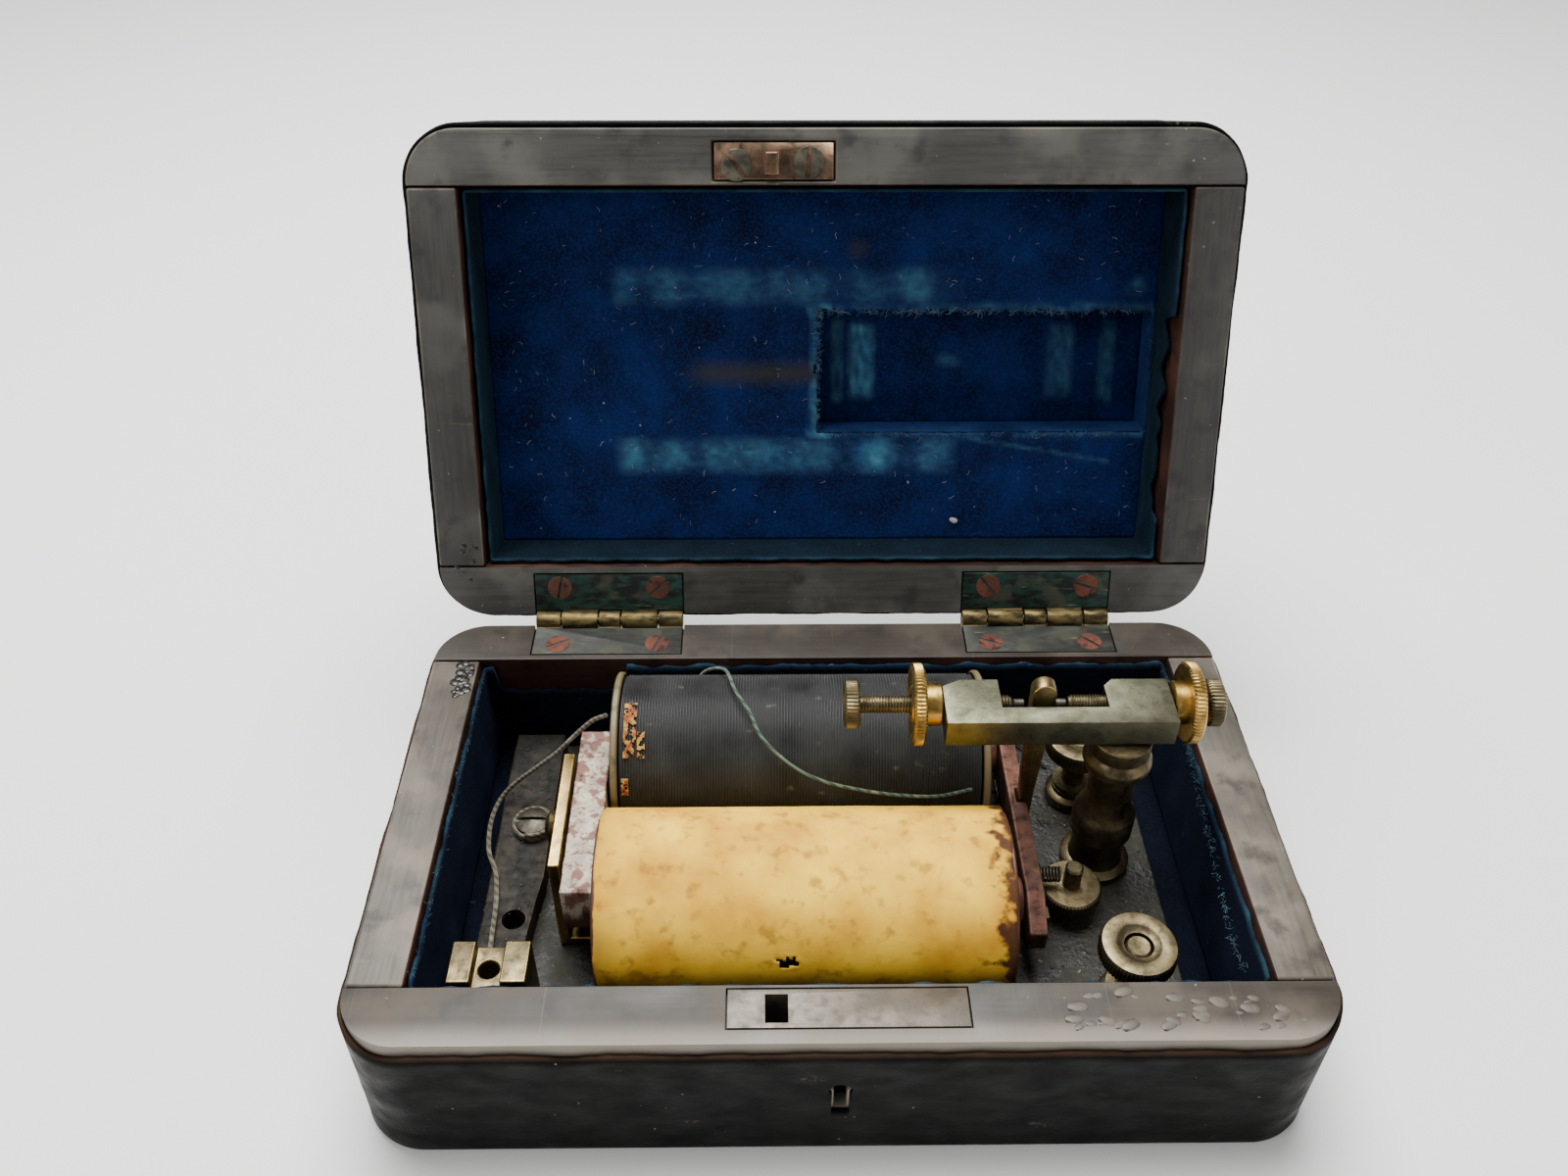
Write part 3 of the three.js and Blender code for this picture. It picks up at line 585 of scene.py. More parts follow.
def barrel_reliefs():
    return [turned("relief", [(0, -14.5), (2.15, -14.5), (2.15, 14.5), (0, 14.5)],
                   (x, relief_y, relief_z), "X", segments=32) for x in (-41.5, 41.5)]


base_hide = hide_shell("base_leather", 0.38 * MM, base_high.z, hide)
base_hide = evaluated(bored(base_hide, key_round, key_slit, *barrel_reliefs()), "base_leather")
finish_piece(base_hide, "root", "case_leather", "base_leather_sides", "base_leather_bottom")
shut_top = 57.0 * MM
lid_shell = hide_shell("lid_leather_skin", shut_top - 0.38 * MM, rim_height + 1.8 * MM, lid_hide)
lid_shell = evaluated(bored(lid_shell, *barrel_reliefs()), "lid_leather_skin")
finish_in_lid(lid_shell, "case_leather", "lid_leather")


# Velvet lining. Navy cotton velvet glued to thin card: a strip round the walls and a sheet
# against the board. Its pile is rubbed pale where the coils press on it when the lid is shut.
def old_velvet(name, deep, high, nap, sheen, fluff, turn=(0, 0, 0)):
    # Cut pile: dark where it is seen end on, lighter at a glancing angle, matted in patches;
    # the wear value on each point brings out the pale ground, the stain value a brown mark.
    material, tree, place, (pile, matted, lint, patches) = begin(
        name, {"Roughness": 0.95, "IOR": 1.4, "Sheen Weight": fluff, "Sheen Roughness": 0.45,
               "Specular IOR Level": 0.15, "Sheen Tint": linear(sheen)},
        (0.5, 2, {}),
        (9, 6, {}),
        (1.6, 3, {"Scale": (0.35, 1, 1), "Location": (0.3, 0.8, 0)}),
        (2.2, 5, {}), turn=turn)
    wear = put(tree, "ShaderNodeAttribute", {"attribute_name": "wear"}).outputs["Fac"]
    stain = put(tree, "ShaderNodeAttribute", {"attribute_name": "stain"}).outputs["Fac"]
    uneven = put(tree, "ShaderNodeMapRange", None,
                 {"Value": patches, **most_noise, "To Min": 0.55, "To Max": 1.25})
    patchy = put(tree, "ShaderNodeMath", {"operation": "MULTIPLY"}, {0: wear, 1: uneven})
    worn_tone = mottled(tree, matted, "#24508e", "#5d9aa0", 0.1, 0.9)
    colour = laid_over(tree, mottled(tree, matted, deep, high), (pile, 0.4, 0.7, 0, 0.4, nap))
    colour = put(tree, "ShaderNodeMix", in_colour, {0: patchy, 6: colour, 7: worn_tone})
    colour = laid_over(tree, colour, (lint, 0.72, 0.76, 0, 0.35, "#4d5d78"))
    colour = put(tree, "ShaderNodeMix", in_colour, {0: stain, 6: colour, 7: "#35342b"})
    return finished(material, colour, None, (pile, 0.15, 0.5), (matted, 0.5, 0.35))


# The wall strips and the base's floor sheet take darker, duller copies of the lid panel's navy velvet
# (the last one): their extra darkness is painted shade inside the case.
velvet = old_velvet("shaded_navy_velvet_base", "#030409", "#080d19", "#0f182b", "#232f4c", fluff=0.26)
shaded_lid_wall_velvet = old_velvet("shaded_navy_velvet_lid_walls", "#03060c", "#0a1622", "#132a38", "#24485c",
                             fluff=0.35, turn=(opened, 0, 0))
lid_velvet_look = old_velvet("navy_velvet_lid", "#060a20", "#10204e", "#16306a", "#2a489a", fluff=0.5,
                             turn=(opened, 0, 0))
inner_low, inner_high = (Vector(corner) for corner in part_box("base_velvet"))


def lining_strip(name, half, centre, low_z, high_z, drop, lean, look, parted=lambda spot: False):
    """A strip of cloth round the inside of four walls, without the cells where it is parted.
    drop and lean give, at each place, how far its free edge falls short and how far it leans
    inwards, in millimetres."""
    walk = [(place + centre, out) for place, out in round_walk(half.x, half.y, 0.8 * MM, 0.9 * MM)]
    levels = 16
    shape = bmesh.new()
    columns = []
    for place, out in walk:
        reach = high_z - low_z
        reach -= math.copysign(drop(place) * MM, reach)
        column = []
        for index in range(levels + 1):
            share = index / levels
            spot = place + Vector((0, 0, low_z + reach * share))
            swell = 0.25 + 0.5 * noise.noise(spot / (7 * MM))
            puffed = swell * math.sin(math.pi * min(1, share * 1.2))
            inward = max(0, puffed) + lean(place) * share ** 2
            column.append(shape.verts.new(spot - out * inward * MM))
        columns.append(column)
    for index, column in enumerate(columns):
        after = columns[(index + 1) % len(columns)]
        for low in range(levels):
            if not parted(column[low].co):
                shape.faces.new((column[low], column[low + 1], after[low + 1], after[low]))
    return evaluated(thickened(mesh_from(shape, name, look), name + "_plain", thickness=0.5), name)


def mark(mesh, wear, stain=lambda spot: 0.0):
    """Writes the wear and stain of the cloth at each point."""
    for label, amount in (("wear", wear), ("stain", stain)):
        layer = mesh.attributes.new(label, "FLOAT", "POINT")
        for vertex in mesh.vertices:
            layer.data[vertex.index].value = amount(vertex.co)


def base_drop(place):
    """The lining has slipped at the back left, and its edge is ragged all round."""
    slipped = 6 if place.y > 30 * MM and -62 * MM < place.x < -38 * MM else 0
    return 0.6 + slipped + 0.9 * noise.noise(place / (5 * MM)) + 0.4 * noise.noise(place / (1.6 * MM))


def base_lean(place):
    """The right-hand strip has come unglued and leans in towards the front."""
    if place.x < 64.6 * MM:
        return 0.0
    return 3.4 * min(1, max(0, (20 * MM - place.y) / (45 * MM)))


def base_parted(spot):
    """The strip is ripped down its front right corner."""
    return spot.x > 60.8 * MM and spot.y < -34.2 * MM and spot.z > 8 * MM


floor_z = inner_low.z + 0.4 * MM
cavity_half = inner_high - Vector((0.35, 0.35, 0)) * MM
middle_of_case = Vector((0, 0, 0))
base_strip = lining_strip("base_wall_lining", cavity_half, middle_of_case, floor_z, inner_high.z,
                          base_drop, base_lean, velvet, base_parted)
top_edge = inner_high.z
mark(base_strip.data, lambda spot: 0.17 * max(0, 1 - (top_edge - spot.z) / (1.6 * MM)) ** 2)
finish_piece(base_strip, "root", "velvet_lining", "base_velvet")


def cloth_sheet(name, low, high, level, cell, skip, look, sag=0.3):
    """A sheet of cloth in the XY plane with its underside at a level, without the cells to skip."""
    across = int((high[0] - low[0]) / cell)
    along = int((high[1] - low[1]) / cell)
    shape = bmesh.new()
    grid = {}

    def corner(i, j):
        if (i, j) not in grid:
            spot = Vector(((low[0] + (high[0] - low[0]) * i / across) * MM,
                           (low[1] + (high[1] - low[1]) * j / along) * MM, level * MM))
            jitter = Vector((noise.noise(spot / (1.1 * MM)),
                             noise.noise(spot / (1.3 * MM) + Vector((5, 0, 0))), 0))
            spot += jitter * cell * 0.35 * MM
            spot.z += noise.noise(spot / (8 * MM)) * sag * MM
            grid[i, j] = shape.verts.new(spot)
        return grid[i, j]

    for i in range(across):
        for j in range(along):
            x = low[0] + (high[0] - low[0]) * (i + 0.5) / across
            y = low[1] + (high[1] - low[1]) * (j + 0.5) / along
            if not skip(x, y):
                shape.faces.new((corner(i, j), corner(i + 1, j), corner(i + 1, j + 1),
                                 corner(i, j + 1)))
    return evaluated(thickened(mesh_from(shape, name, look), name + "_plain", thickness=0.45), name)


floor_cloth = cloth_sheet("base_floor_lining", (-64.4, -34.6), (64.4, 34.6), level=5.0, cell=1.6,
                          skip=lambda x, y: False, look=velvet, sag=0.15)
mark(floor_cloth.data, lambda spot: 0.0)
finish_piece(floor_cloth, "root", "velvet_lining")

pocket = {"left": -1.3, "right": 64.75, "front": -12.0, "back": 12.6, "floor": 54.0}
ceiling = 43.9


def torn(x, y):
    """The pocket's opening: ragged, and worn back where the right contact's head comes."""
    wobble = 0.8 * noise.noise(Vector((x / 3.5, y / 3.5, 0))) + 0.5 * noise.noise(Vector((x, y, 4)))
    overlap = 0.1 if 0 < y < 10.4 else 0.9
    inside_x = pocket["left"] + 0.4 + wobble < x < pocket["right"] - overlap
    inside_y = pocket["front"] + 0.5 + wobble < y < pocket["back"] - 0.2 - 0.4 * wobble
    return inside_x and inside_y


def lid_wear(spot):
    """Pale bands where the two coils rub, the frayed rim of the pocket, and a scratch and a
    rubbed spot beside it."""
    x = spot.x / MM
    y = spot.y / MM
    total = 0.0
    for middle in (-16.1, 17.0):
        across = max(0, 1 - abs(y - middle) / 4.2)
        ends = min(1, max(0, (x + 41) / 3), max(0, (27.5 - x) / 3))
        streak = 0.55 + 1.1 * noise.noise(Vector((x / 7, middle, 0)))
        streak += 0.4 * noise.noise(Vector((x / 2, y, 3)))
        strength = 0.6 if middle > 0 else 0.36
        total = max(total, strength * min(1, across * 1.6) * ends * max(0.15, min(1.3, streak)))
    edge_x = min(abs(x - pocket["left"]), abs(x - pocket["right"])) if -13 < y < 13 else 9
    edge_y = min(abs(y - pocket["front"]), abs(y - pocket["back"])) if -3 < x < 64 else 9
    rim = max(0, 1 - min(edge_x, edge_y) / 1.4) * (0.6 if x < 2 else 0.22)
    slash = abs(y - 13.4 - 0.17 * (x - 28)) if 28 < x < 58 else 9
    rim = max(rim, 0.3 * max(0, 1 - slash / 0.6), 0.4 * max(0, 1 - math.hypot(x - 60, y + 16) / 2.5))
    return min(1, max(total, rim * (0.7 + 1.2 * noise.noise(Vector((x / 2, y / 2, 1))))))


def lid_stain(spot):
    """A brownish mark left of the pocket and a small round spot."""
    x = spot.x / MM
    y = spot.y / MM
    smear = max(0, 1 - abs(y - 0.5) / 3.2) * min(1, max(0, (x + 27) / 5), max(0, (2 - x) / 5))
    dot = max(0, 1 - math.hypot(x - 6.7, y + 23) / 2.6)
    return max(0.75 * smear, 0.45 * dot)


lid_sheet = cloth_sheet("lid_panel_lining", (-64.2, -34.4), (64.2, 34.4), ceiling, cell=0.62, skip=torn,
                        look=lid_velvet_look)
mark(lid_sheet.data, lid_wear, lid_stain)
finish_in_lid(lid_sheet, "velvet_lining", "lid_velvet")


def lid_drop(place):
    """The lid's strip has a ragged edge and has come away low on the right-hand wall."""
    peeled = 5.5 if place.x > 60 * MM and -12 * MM < place.y < 26 * MM else 0
    peeled *= 0.7 + 0.5 * noise.noise(place / (4 * MM))
    return 0.8 + peeled + 0.6 * noise.noise(place / (3 * MM))


lid_strip = lining_strip("lid_wall_lining", cavity_half, middle_of_case, ceiling * MM, 30.1 * MM,
                         lid_drop, lambda place: 0.3, shaded_lid_wall_velvet)
mark(lid_strip.data, lambda spot: 0.2 * max(0, 1 - (spot.z - 30.1 * MM) / (2.5 * MM)) ** 2)
finish_in_lid(lid_strip, "velvet_lining")


def pocket_wear(spot):
    """Pale stripes where the lock nuts and the bridge's lugs touch the pocket's cloth."""
    x = spot.x / MM
    y = spot.y / MM
    stripes = [(8.5, 3.0, 0.7, 8), (3.5, 1.6, 0.3, 9), (26, 2.6, 0.4, 1.6), (48.5, 3.2, 0.3, 8),
               (58, 1.8, 0.3, 9)]
    wear = []
    for middle, width, strength, long in stripes:
        across = min(1, 2.2 * max(0, 1 - abs(x - middle) / width))
        ends = min(1, max(0, long - abs(y)) / 1.5)
        wear.append(strength * across * ends * (0.75 + 0.8 * noise.noise(Vector((x, y / 3, 2)))))
    return max(wear)


pocket_cloth = cloth_sheet("lid_pocket_floor", (pocket["left"], pocket["front"]),
                           (pocket["right"], pocket["back"]), pocket["floor"] + 0.04, cell=0.8,
                           skip=lambda x, y: False, look=lid_velvet_look, sag=0.05)
mark(pocket_cloth.data, pocket_wear)
finish_in_lid(pocket_cloth, "velvet_lining")
pocket_half = Vector((pocket["right"] - pocket["left"], pocket["back"] - pocket["front"], 0)) * MM / 2
pocket_centre = Vector((pocket["right"] + pocket["left"], pocket["back"] + pocket["front"], 0)) * MM / 2
pocket_strip = lining_strip("lid_pocket_walls", pocket_half, pocket_centre,
                            pocket["floor"] * MM - 0.6 * MM, (ceiling + 0.4) * MM, lambda place: 0.2,
                            lambda place: 0.2, lid_velvet_look)
mark(pocket_strip.data, lambda spot: 0.1)
finish_in_lid(pocket_strip, "velvet_lining")


# Hinges. Two butt hinges of sheet brass let into the rims, each with four countersunk screws
# gone rusty. The leaves are green-black with verdigris; the knuckles are rubbed bare.
def old_metal(name, ground, dark, bright, rough=(0.38, 0.62), pits=0.05, grime=0.55, metallic=1.0):
    # Handled brass or iron: a dull brown skin with brighter rubbed places, dark grime that
    # has settled in patches, and fine pitting.
    material, tree, place, (cloud, settled, fine) = begin(
        name, {"Metallic": metallic},
        (4, 6, {}), (1.6, 5, {"Location": (0.4, 0.2, 0.1)}), (0.35, 3, {}))
    colour = laid_over(tree, ground, (cloud, 0.4, 0.66, 0, 1, bright),
                       (settled, 0.5, 0.7, 0, grime, dark))
    return finished(material, colour, (settled, *rough), (fine, pits, 0.5), (settled, 0.06, 0.5))


def distance_from_axis(tree, place, centre):
    """How far a place is from the line along X through a centre."""
    offset = put(tree, "ShaderNodeVectorMath", {"operation": "SUBTRACT"}, {0: place, 1: tuple(centre)})
    across = put(tree, "ShaderNodeVectorMath", {"operation": "MULTIPLY"}, {0: offset, 1: (0, 1, 1)})
    return put(tree, "ShaderNodeVectorMath", {"operation": "LENGTH"}, {0: across})


def leaf_brass(name, black, green):
    # Sheet brass under verdigris: blue-green and black crusts. The knuckles, close to the
    # hinge line, are bare yellow metal.
    material, tree, place, (crust, blotch, streak) = begin(
        name, {}, (1.2, 6, {"Scale": (0.4, 1, 1)}), (5, 5, {}),
        (1.0, 3, {"Scale": (0.12, 1, 1), "Location": (0.7, 0, 0)}))
    reach = distance_from_axis(tree, place, hinge_line)
    bare_brass = laid_over(tree, "#7a6a42", (crust, 0.4, 0.65, 0, 1, "#3a3322"))
    colour = laid_over(tree, black,
                       (crust, 0.4, 0.62, 0, 1, green),
                       (blotch, 0.52, 0.66, 0, 0.8, "#3a3a2c"),
                       (streak, 0.66, 0.74, 0, 0.6, "#7d815e"),
                       (reach, 1.7 * MM, 2.3 * MM, 1, 0, bare_brass))
    metal = put(
        tree, "ShaderNodeMapRange", smoothly,
        {"Value": reach, "From Min": 1.7 * MM, "From Max": 2.3 * MM, "To Min": 1.0, "To Max": 0.25})
    tree.links.new(metal.outputs[0], tree.nodes["Principled BSDF"].inputs["Metallic"])
    return finished(material, colour, (blotch, 0.4, 0.65), (crust, 0.1, 0.6))


def box_in_mm(node):
    """The low and high corners of a node's box, in millimetres."""
    low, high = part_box(node)
    return Vector(low) / MM, Vector(high) / MM


leaf_look = {"lid": leaf_brass("verdigris_sheet_brass", "#0b0f0d", "#14352a"),
             "base": leaf_brass("grimed_sheet_brass", "#1d1b16", "#232920")}
rusty_screw = old_metal("rusty_screw_iron", "#4e2c20", "#1f1411", "#6c3c2b", (0.6, 0.9), pits=0.12,
                        grime=0.85, metallic=0.3)
dull_screw = old_metal("dull_screw_iron", "#4b473e", "#201e1a", "#6e695c", (0.4, 0.65), pits=0.06,
                       grime=0.5, metallic=0.9)
for side in ("left", "right"):
    for half, body in (("base", "root"), ("lid", "lid")):
        finish_node(f"{half}_hinge_leaf_{side}", body, "hinge_patina", width=0.18,
                    looks=(leaf_look[half],))
    low, high = box_in_mm(f"hinge_pin_{side}")
    half_pin = (high.x - low.x) / 2
    pin = turned(f"hinge_pin_{side}_piece", [(0, -half_pin), (0.6, -half_pin), (0.8, 0.2 - half_pin),
                                             (0.8, half_pin - 0.2), (0.6, half_pin), (0, half_pin)],
                 (low + high) / 2, "X", segments=24, look=leaf_look["lid"])
    finish_piece(pin, "root", "bright_brass", f"hinge_pin_{side}")


def slotted_head(name, radius, rise, slot_width, look, under=0.6):
    """A low domed screw head centred on the origin, facing up, with a filed slot."""
    profile = [(0, -under), (radius - 0.5, -under), (radius, -0.05), (radius - 0.08, 0.06),
               (radius * 0.6, rise * 0.8), (0, rise)]
    head = turned(name + "_blank", profile, (0, 0, 0), "Z", segments=40, look=look)
    blade = bpy.data.meshes.new(name + "_blade")
    box = bmesh.new()
    bmesh.ops.create_cube(box, size=1)
    bmesh.ops.scale(box, vec=Vector((radius * 2.4, slot_width, 1.0)) * MM, verts=box.verts)
    bmesh.ops.translate(box, vec=Vector((0, 0, 0.5 - 0.38 + rise * 0.4)) * MM, verts=box.verts)
    box.to_mesh(blade)
    box.free()
    cutter = bpy.data.objects.new(name + "_blade", blade)
    made = evaluated(bored(head, cutter), name)
    made.data.shade_smooth()
    made.data.set_sharp_from_angle(angle=math.radians(28))
    return made


def planting_tree():
    """Geometry nodes that put a copy of one piece on every point, turned as the point says."""
    tree = bpy.data.node_groups.new("plant_copies", "GeometryNodeTree")
    for label, kind in (("Points", "NodeSocketGeometry"), ("Piece", "NodeSocketObject"),
                        ("Look", "NodeSocketMaterial")):
        tree.interface.new_socket(label, in_out="INPUT", socket_type=kind)
    tree.interface.new_socket("Copies", in_out="OUTPUT", socket_type="NodeSocketGeometry")
    given = put(tree, "NodeGroupInput")
    piece = put(tree, "GeometryNodeObjectInfo", None, {"Object": given.outputs["Piece"]})
    turn = put(tree, "GeometryNodeInputNamedAttribute", {"data_type": "FLOAT_VECTOR"}, {"Name": "turn"})
    size = put(tree, "GeometryNodeInputNamedAttribute", {"data_type": "FLOAT_VECTOR"}, {"Name": "size"})
    planted = put(tree, "GeometryNodeInstanceOnPoints", None,
                  {"Points": given.outputs["Points"], "Instance": piece.outputs["Geometry"],
                   "Rotation": turn.outputs[0], "Scale": size.outputs[0]})
    whole = put(tree, "GeometryNodeRealizeInstances", None, {"Geometry": planted.outputs[0]})
    looked = put(tree, "GeometryNodeSetMaterial", None,
                 {"Geometry": whole.outputs[0], "Material": given.outputs["Look"]})
    put(tree, "NodeGroupOutput", None, {0: looked.outputs[0]})
    return tree


planting = planting_tree()


def planted(name, source, places, look):
    """Copies of a source piece at (position in mm, turn, size) places, as one plain mesh."""
    mesh = bpy.data.meshes.new(name + "_points")
    mesh.from_pydata([Vector(at) * MM for at, turn, size in places], [], [])
    turns = mesh.attributes.new("turn", "FLOAT_VECTOR", "POINT")
    sizes = mesh.attributes.new("size", "FLOAT_VECTOR", "POINT")
    for index, (at, turn, size) in enumerate(places):
        turns.data[index].vector = turn
        sizes.data[index].vector = size
    scene.collection.objects.link(source)
    holder = bpy.data.objects.new(name + "_points", mesh)
    modifier = holder.modifiers.new("copies", "NODES")
    modifier.node_group = planting
    for item in planting.interface.items_tree:
        if item.name == "Piece":
            modifier[item.identifier] = source
        if item.name == "Look":
            modifier[item.identifier] = look
    made = evaluated(holder, name)
    bpy.data.objects.remove(source)
    return made


hinge_screw_turns = {"base": [0.5, 1.2, -0.4, 2.4], "lid": [1.8, -0.7, 0.9, 0.3]}
leaf_top = {"base": 29.02, "lid": 29.28}
for half, body in (("base", "root"), ("lid", "lid")):
    places = []
    for index, x in enumerate((-51, -32, 32.2, 51.2)):
        tipped = (math.pi if half == "lid" else 0, 0, hinge_screw_turns[half][index])
        places.append(((x, 39.6, leaf_top[half]), tipped, (1, 1, 1)))
    head = slotted_head(f"{half}_hinge_screw", radius=2.35, rise=0.12, slot_width=0.5, look=rusty_screw,
                        under=0.5)
    screws = planted(f"{half}_hinge_screws", head, places, rusty_screw)
    if half == "lid":
        screws.data.transform(lid_turn)
    finish_piece(screws, body, "rusty_iron")


# Lock. A brass box lock let into the front rail, its plate flush with the rim and worn grey;
# on the lid a copper-brown plate carries the staple that drops into its slot.
lock_look = old_metal("grey_worn_lock_brass", "#5f5950", "#3b362f", "#6c655b", (0.42, 0.6), pits=0.03,
                      grime=0.3, metallic=0.6)
lock_edge = old_metal("lock_plate_arris", "#3a352d", "#1d1a16", "#7f7350", (0.4, 0.6))
finish_node("lock_body", "root", "aged_brass", width=0.12, looks=(lock_look, lock_edge))
finish_node("lock_bolt", "lock_bolt", "aged_brass", width=0.15, looks=(lock_look,))
link_look = old_metal("copper_brown_link_plate", "#4f4438", "#201a15", "#785e4a", (0.35, 0.6),
                      pits=0.06, grime=0.6)
link_edge = old_metal("link_plate_arris", "#6d5347", "#33261f", "#94705f", (0.3, 0.5))
finish_node("lid_link_plate", "lid", "copper_plate", width=0.2, looks=(link_look, link_edge))
link_places = [((-15.9, -38.8, 29.25), (math.pi, 0, 0.95), (1, 1, 1)),
               ((-3.2, -39.2, 29.25), (math.pi, 0, 1.65), (1, 1, 1))]
link_screws = planted(
    "lid_link_screws",
    slotted_head("link_screw", radius=2.75, rise=0.18, slot_width=0.8, look=dull_screw, under=0.5),
    link_places, dull_screw)
finish_in_lid(link_screws, "rusty_iron")


# Relay bed. A slab of hard rubber gone grey-green and rough with dust, raised on the right
# under the terminals, and on the left a flat brown strip that carries the coil's current.
def dusty_rubber():
    # Vulcanite bleached by light: a greenish grey bloom over black, with grit and dust.
    material, tree, place, (bloom, grit, crumbs) = begin(
        "bleached_hard_rubber", {"IOR": 1.5, "Specular IOR Level": 0.3},
        (5, 6, {}), (0.7, 4, {}), (1.5, 3, {"Location": (0.1, 0.6, 0)}))
    colour = laid_over(tree, mottled(tree, bloom, "#12110d", "#302e25"),
                       (grit, 0.55, 0.7, 0, 0.5, "#4a4638"),
                       (crumbs, 0.68, 0.73, 0, 0.8, "#8d8770"))
    return finished(material, colour, (bloom, 0.35, 0.8), (grit, 0.25, 0.7), (crumbs, 0.4, 0.5))


bed_look = dusty_rubber()
finish_node("relay_bed", "root", "hard_rubber", width=0.3, looks=(bed_look,), roughen=0.12, grain=2.5,
            cell=2.0)
strip_look = old_metal("brown_terminal_strip_brass", "#14110b", "#0a0907", "#2b251b", (0.62, 0.85),
                       pits=0.12, grime=0.6, metallic=0.4)
strip_edge = old_metal("terminal_strip_arris", "#40372a", "#1d1912", "#5d503b", (0.45, 0.7))
finish_node("terminal_bar", "root", "terminal_strip", width=0.3, looks=(strip_look, strip_edge))
brass = old_metal("olive_aged_brass", "#584f3b", "#221d15", "#796d50", (0.34, 0.58), pits=0.05,
                  grime=0.5)
brass_edge = old_metal("rubbed_brass_arris", "#87744a", "#463b26", "#ae955f", (0.28, 0.45), pits=0.03,
                       grime=0.35)
finish_node("terminal_block", "root", "aged_brass", width=0.3, looks=(brass, brass_edge))
screw_low, screw_high = box_in_mm("terminal_screw")
strip_screw = slotted_head("terminal_screw_piece", radius=3.0, rise=0.7, slot_width=0.7,
                           look=dull_screw, under=1.6)
screw_middle = (screw_low + screw_high) / 2
head_at = Vector((screw_middle.x, screw_middle.y, screw_high.z - 0.7))
strip_screw.data.transform(Matrix.Translation(head_at * MM))
finish_piece(strip_screw, "root", "aged_brass", "terminal_screw")


# Yoke. A bar of iron joins the coils' cores at the left; it was painted pale and the paint
# has flaked to rust. A brass angle behind it holds it up by one slotted screw.
def flaked_paint():
    # Off-white paint on iron: chips and freckles of red-brown rust, darker along their rims,
    # and bare brown iron low down.
    material, tree, place, (chips, freckles, streaks) = begin(
        "flaked_pale_paint", {"IOR": 1.5},
        (2.2, 9, {"Scale": (1, 1, 0.5), "Location": (0.4, 0, 0)}),
        (0.6, 4, {}),
        (2.6, 5, {"Scale": (1, 1, 0.25)}))
    height = put(tree, "ShaderNodeSeparateXYZ", None, {0: place}).outputs["Z"]
    ragged = put(tree, "ShaderNodeMath", {"operation": "MULTIPLY_ADD"},
                 {0: streaks, 1: -0.012, 2: height})
    colour = laid_over(tree, mottled(tree, streaks, "#8a7f6e", "#c6bba2"),
                       (freckles, 0.56, 0.64, 0, 0.75, "#6e3f34"),
                       (chips, 0.48, 0.56, 0, 0.85, "#6e3d32"),
                       (chips, 0.62, 0.7, 0, 0.8, "#2e1c18"),
                       (ragged, 0.0145, 0.018, 1, 0, "#3a211b"))
    return finished(material, colour, (chips, 0.45, 0.8), (chips, -0.2, 0.8), (freckles, 0.05, 0.4))


paint = flaked_paint()
finish_node("yoke", "root", "painted_iron", width=0.5, looks=(paint,), roughen=0.12, grain=2.0,
            cell=1.2)
gold_edge = old_metal("bright_brass_arris", "#b08c4c", "#5f4b28", "#dab96f", (0.25, 0.42), pits=0.03,
                      grime=0.3)
finish_node("yoke_bracket", "root", "aged_brass", width=0.3, looks=(brass_edge, gold_edge))
yoke_low, yoke_high = box_in_mm("yoke_screw")
yoke_middle = (yoke_low + yoke_high) / 2
yoke_head = slotted_head("yoke_screw_piece", radius=3.0, rise=1.0, slot_width=0.8, look=brass,
                         under=1.1)
yoke_head.data.transform(
    Matrix.Translation(Vector((yoke_low.x + 1.0, yoke_middle.y, yoke_middle.z)) * MM)
    @ Matrix.Rotation(-math.pi / 2, 4, "Y") @ Matrix.Rotation(0.9, 4, "Z"))
finish_piece(yoke_head, "root", "aged_brass", "yoke_screw")


# Coils. Each is an iron core in a fibre bobbin, wound full of fine black silk-covered wire.
# The front one is wrapped in yellowed paper; the rear one's cover has gone but for scraps.
def helix_tree():
    """Geometry nodes that wind a round wire into a helix along Z."""
    tree = bpy.data.node_groups.new("wind_wire", "GeometryNodeTree")
    sizes = ("Turns", "Radius", "Length", "Wire")
    for label in sizes:
        tree.interface.new_socket(label, in_out="INPUT", socket_type="NodeSocketFloat")
    tree.interface.new_socket("Points per turn", in_out="INPUT", socket_type="NodeSocketInt")
    tree.interface.new_socket("Look", in_out="INPUT", socket_type="NodeSocketMaterial")
    tree.interface.new_socket("Winding", in_out="OUTPUT", socket_type="NodeSocketGeometry")
    given = put(tree, "NodeGroupInput").outputs
    helix = put(tree, "GeometryNodeCurveSpiral", None,
                {"Resolution": given["Points per turn"], "Rotations": given["Turns"],
                 "Start Radius": given["Radius"], "End Radius": given["Radius"],
                 "Height": given["Length"]})
    section = put(tree, "GeometryNodeCurvePrimitiveCircle", {"mode": "RADIUS"},
                  {"Resolution": 6, "Radius": given["Wire"]})
    wound = put(tree, "GeometryNodeCurveToMesh", None,
                {"Curve": helix.outputs[0], "Profile Curve": section.outputs[0], "Fill Caps": True})
    looked = put(tree, "GeometryNodeSetMaterial", None,
                 {"Geometry": put(tree, "GeometryNodeRealizeInstances", None,
                                  {0: wound.outputs[0]}).outputs[0], "Material": given["Look"]})
    put(tree, "NodeGroupOutput", None, {0: looked.outputs[0]})
    return tree


winding_nodes = helix_tree()


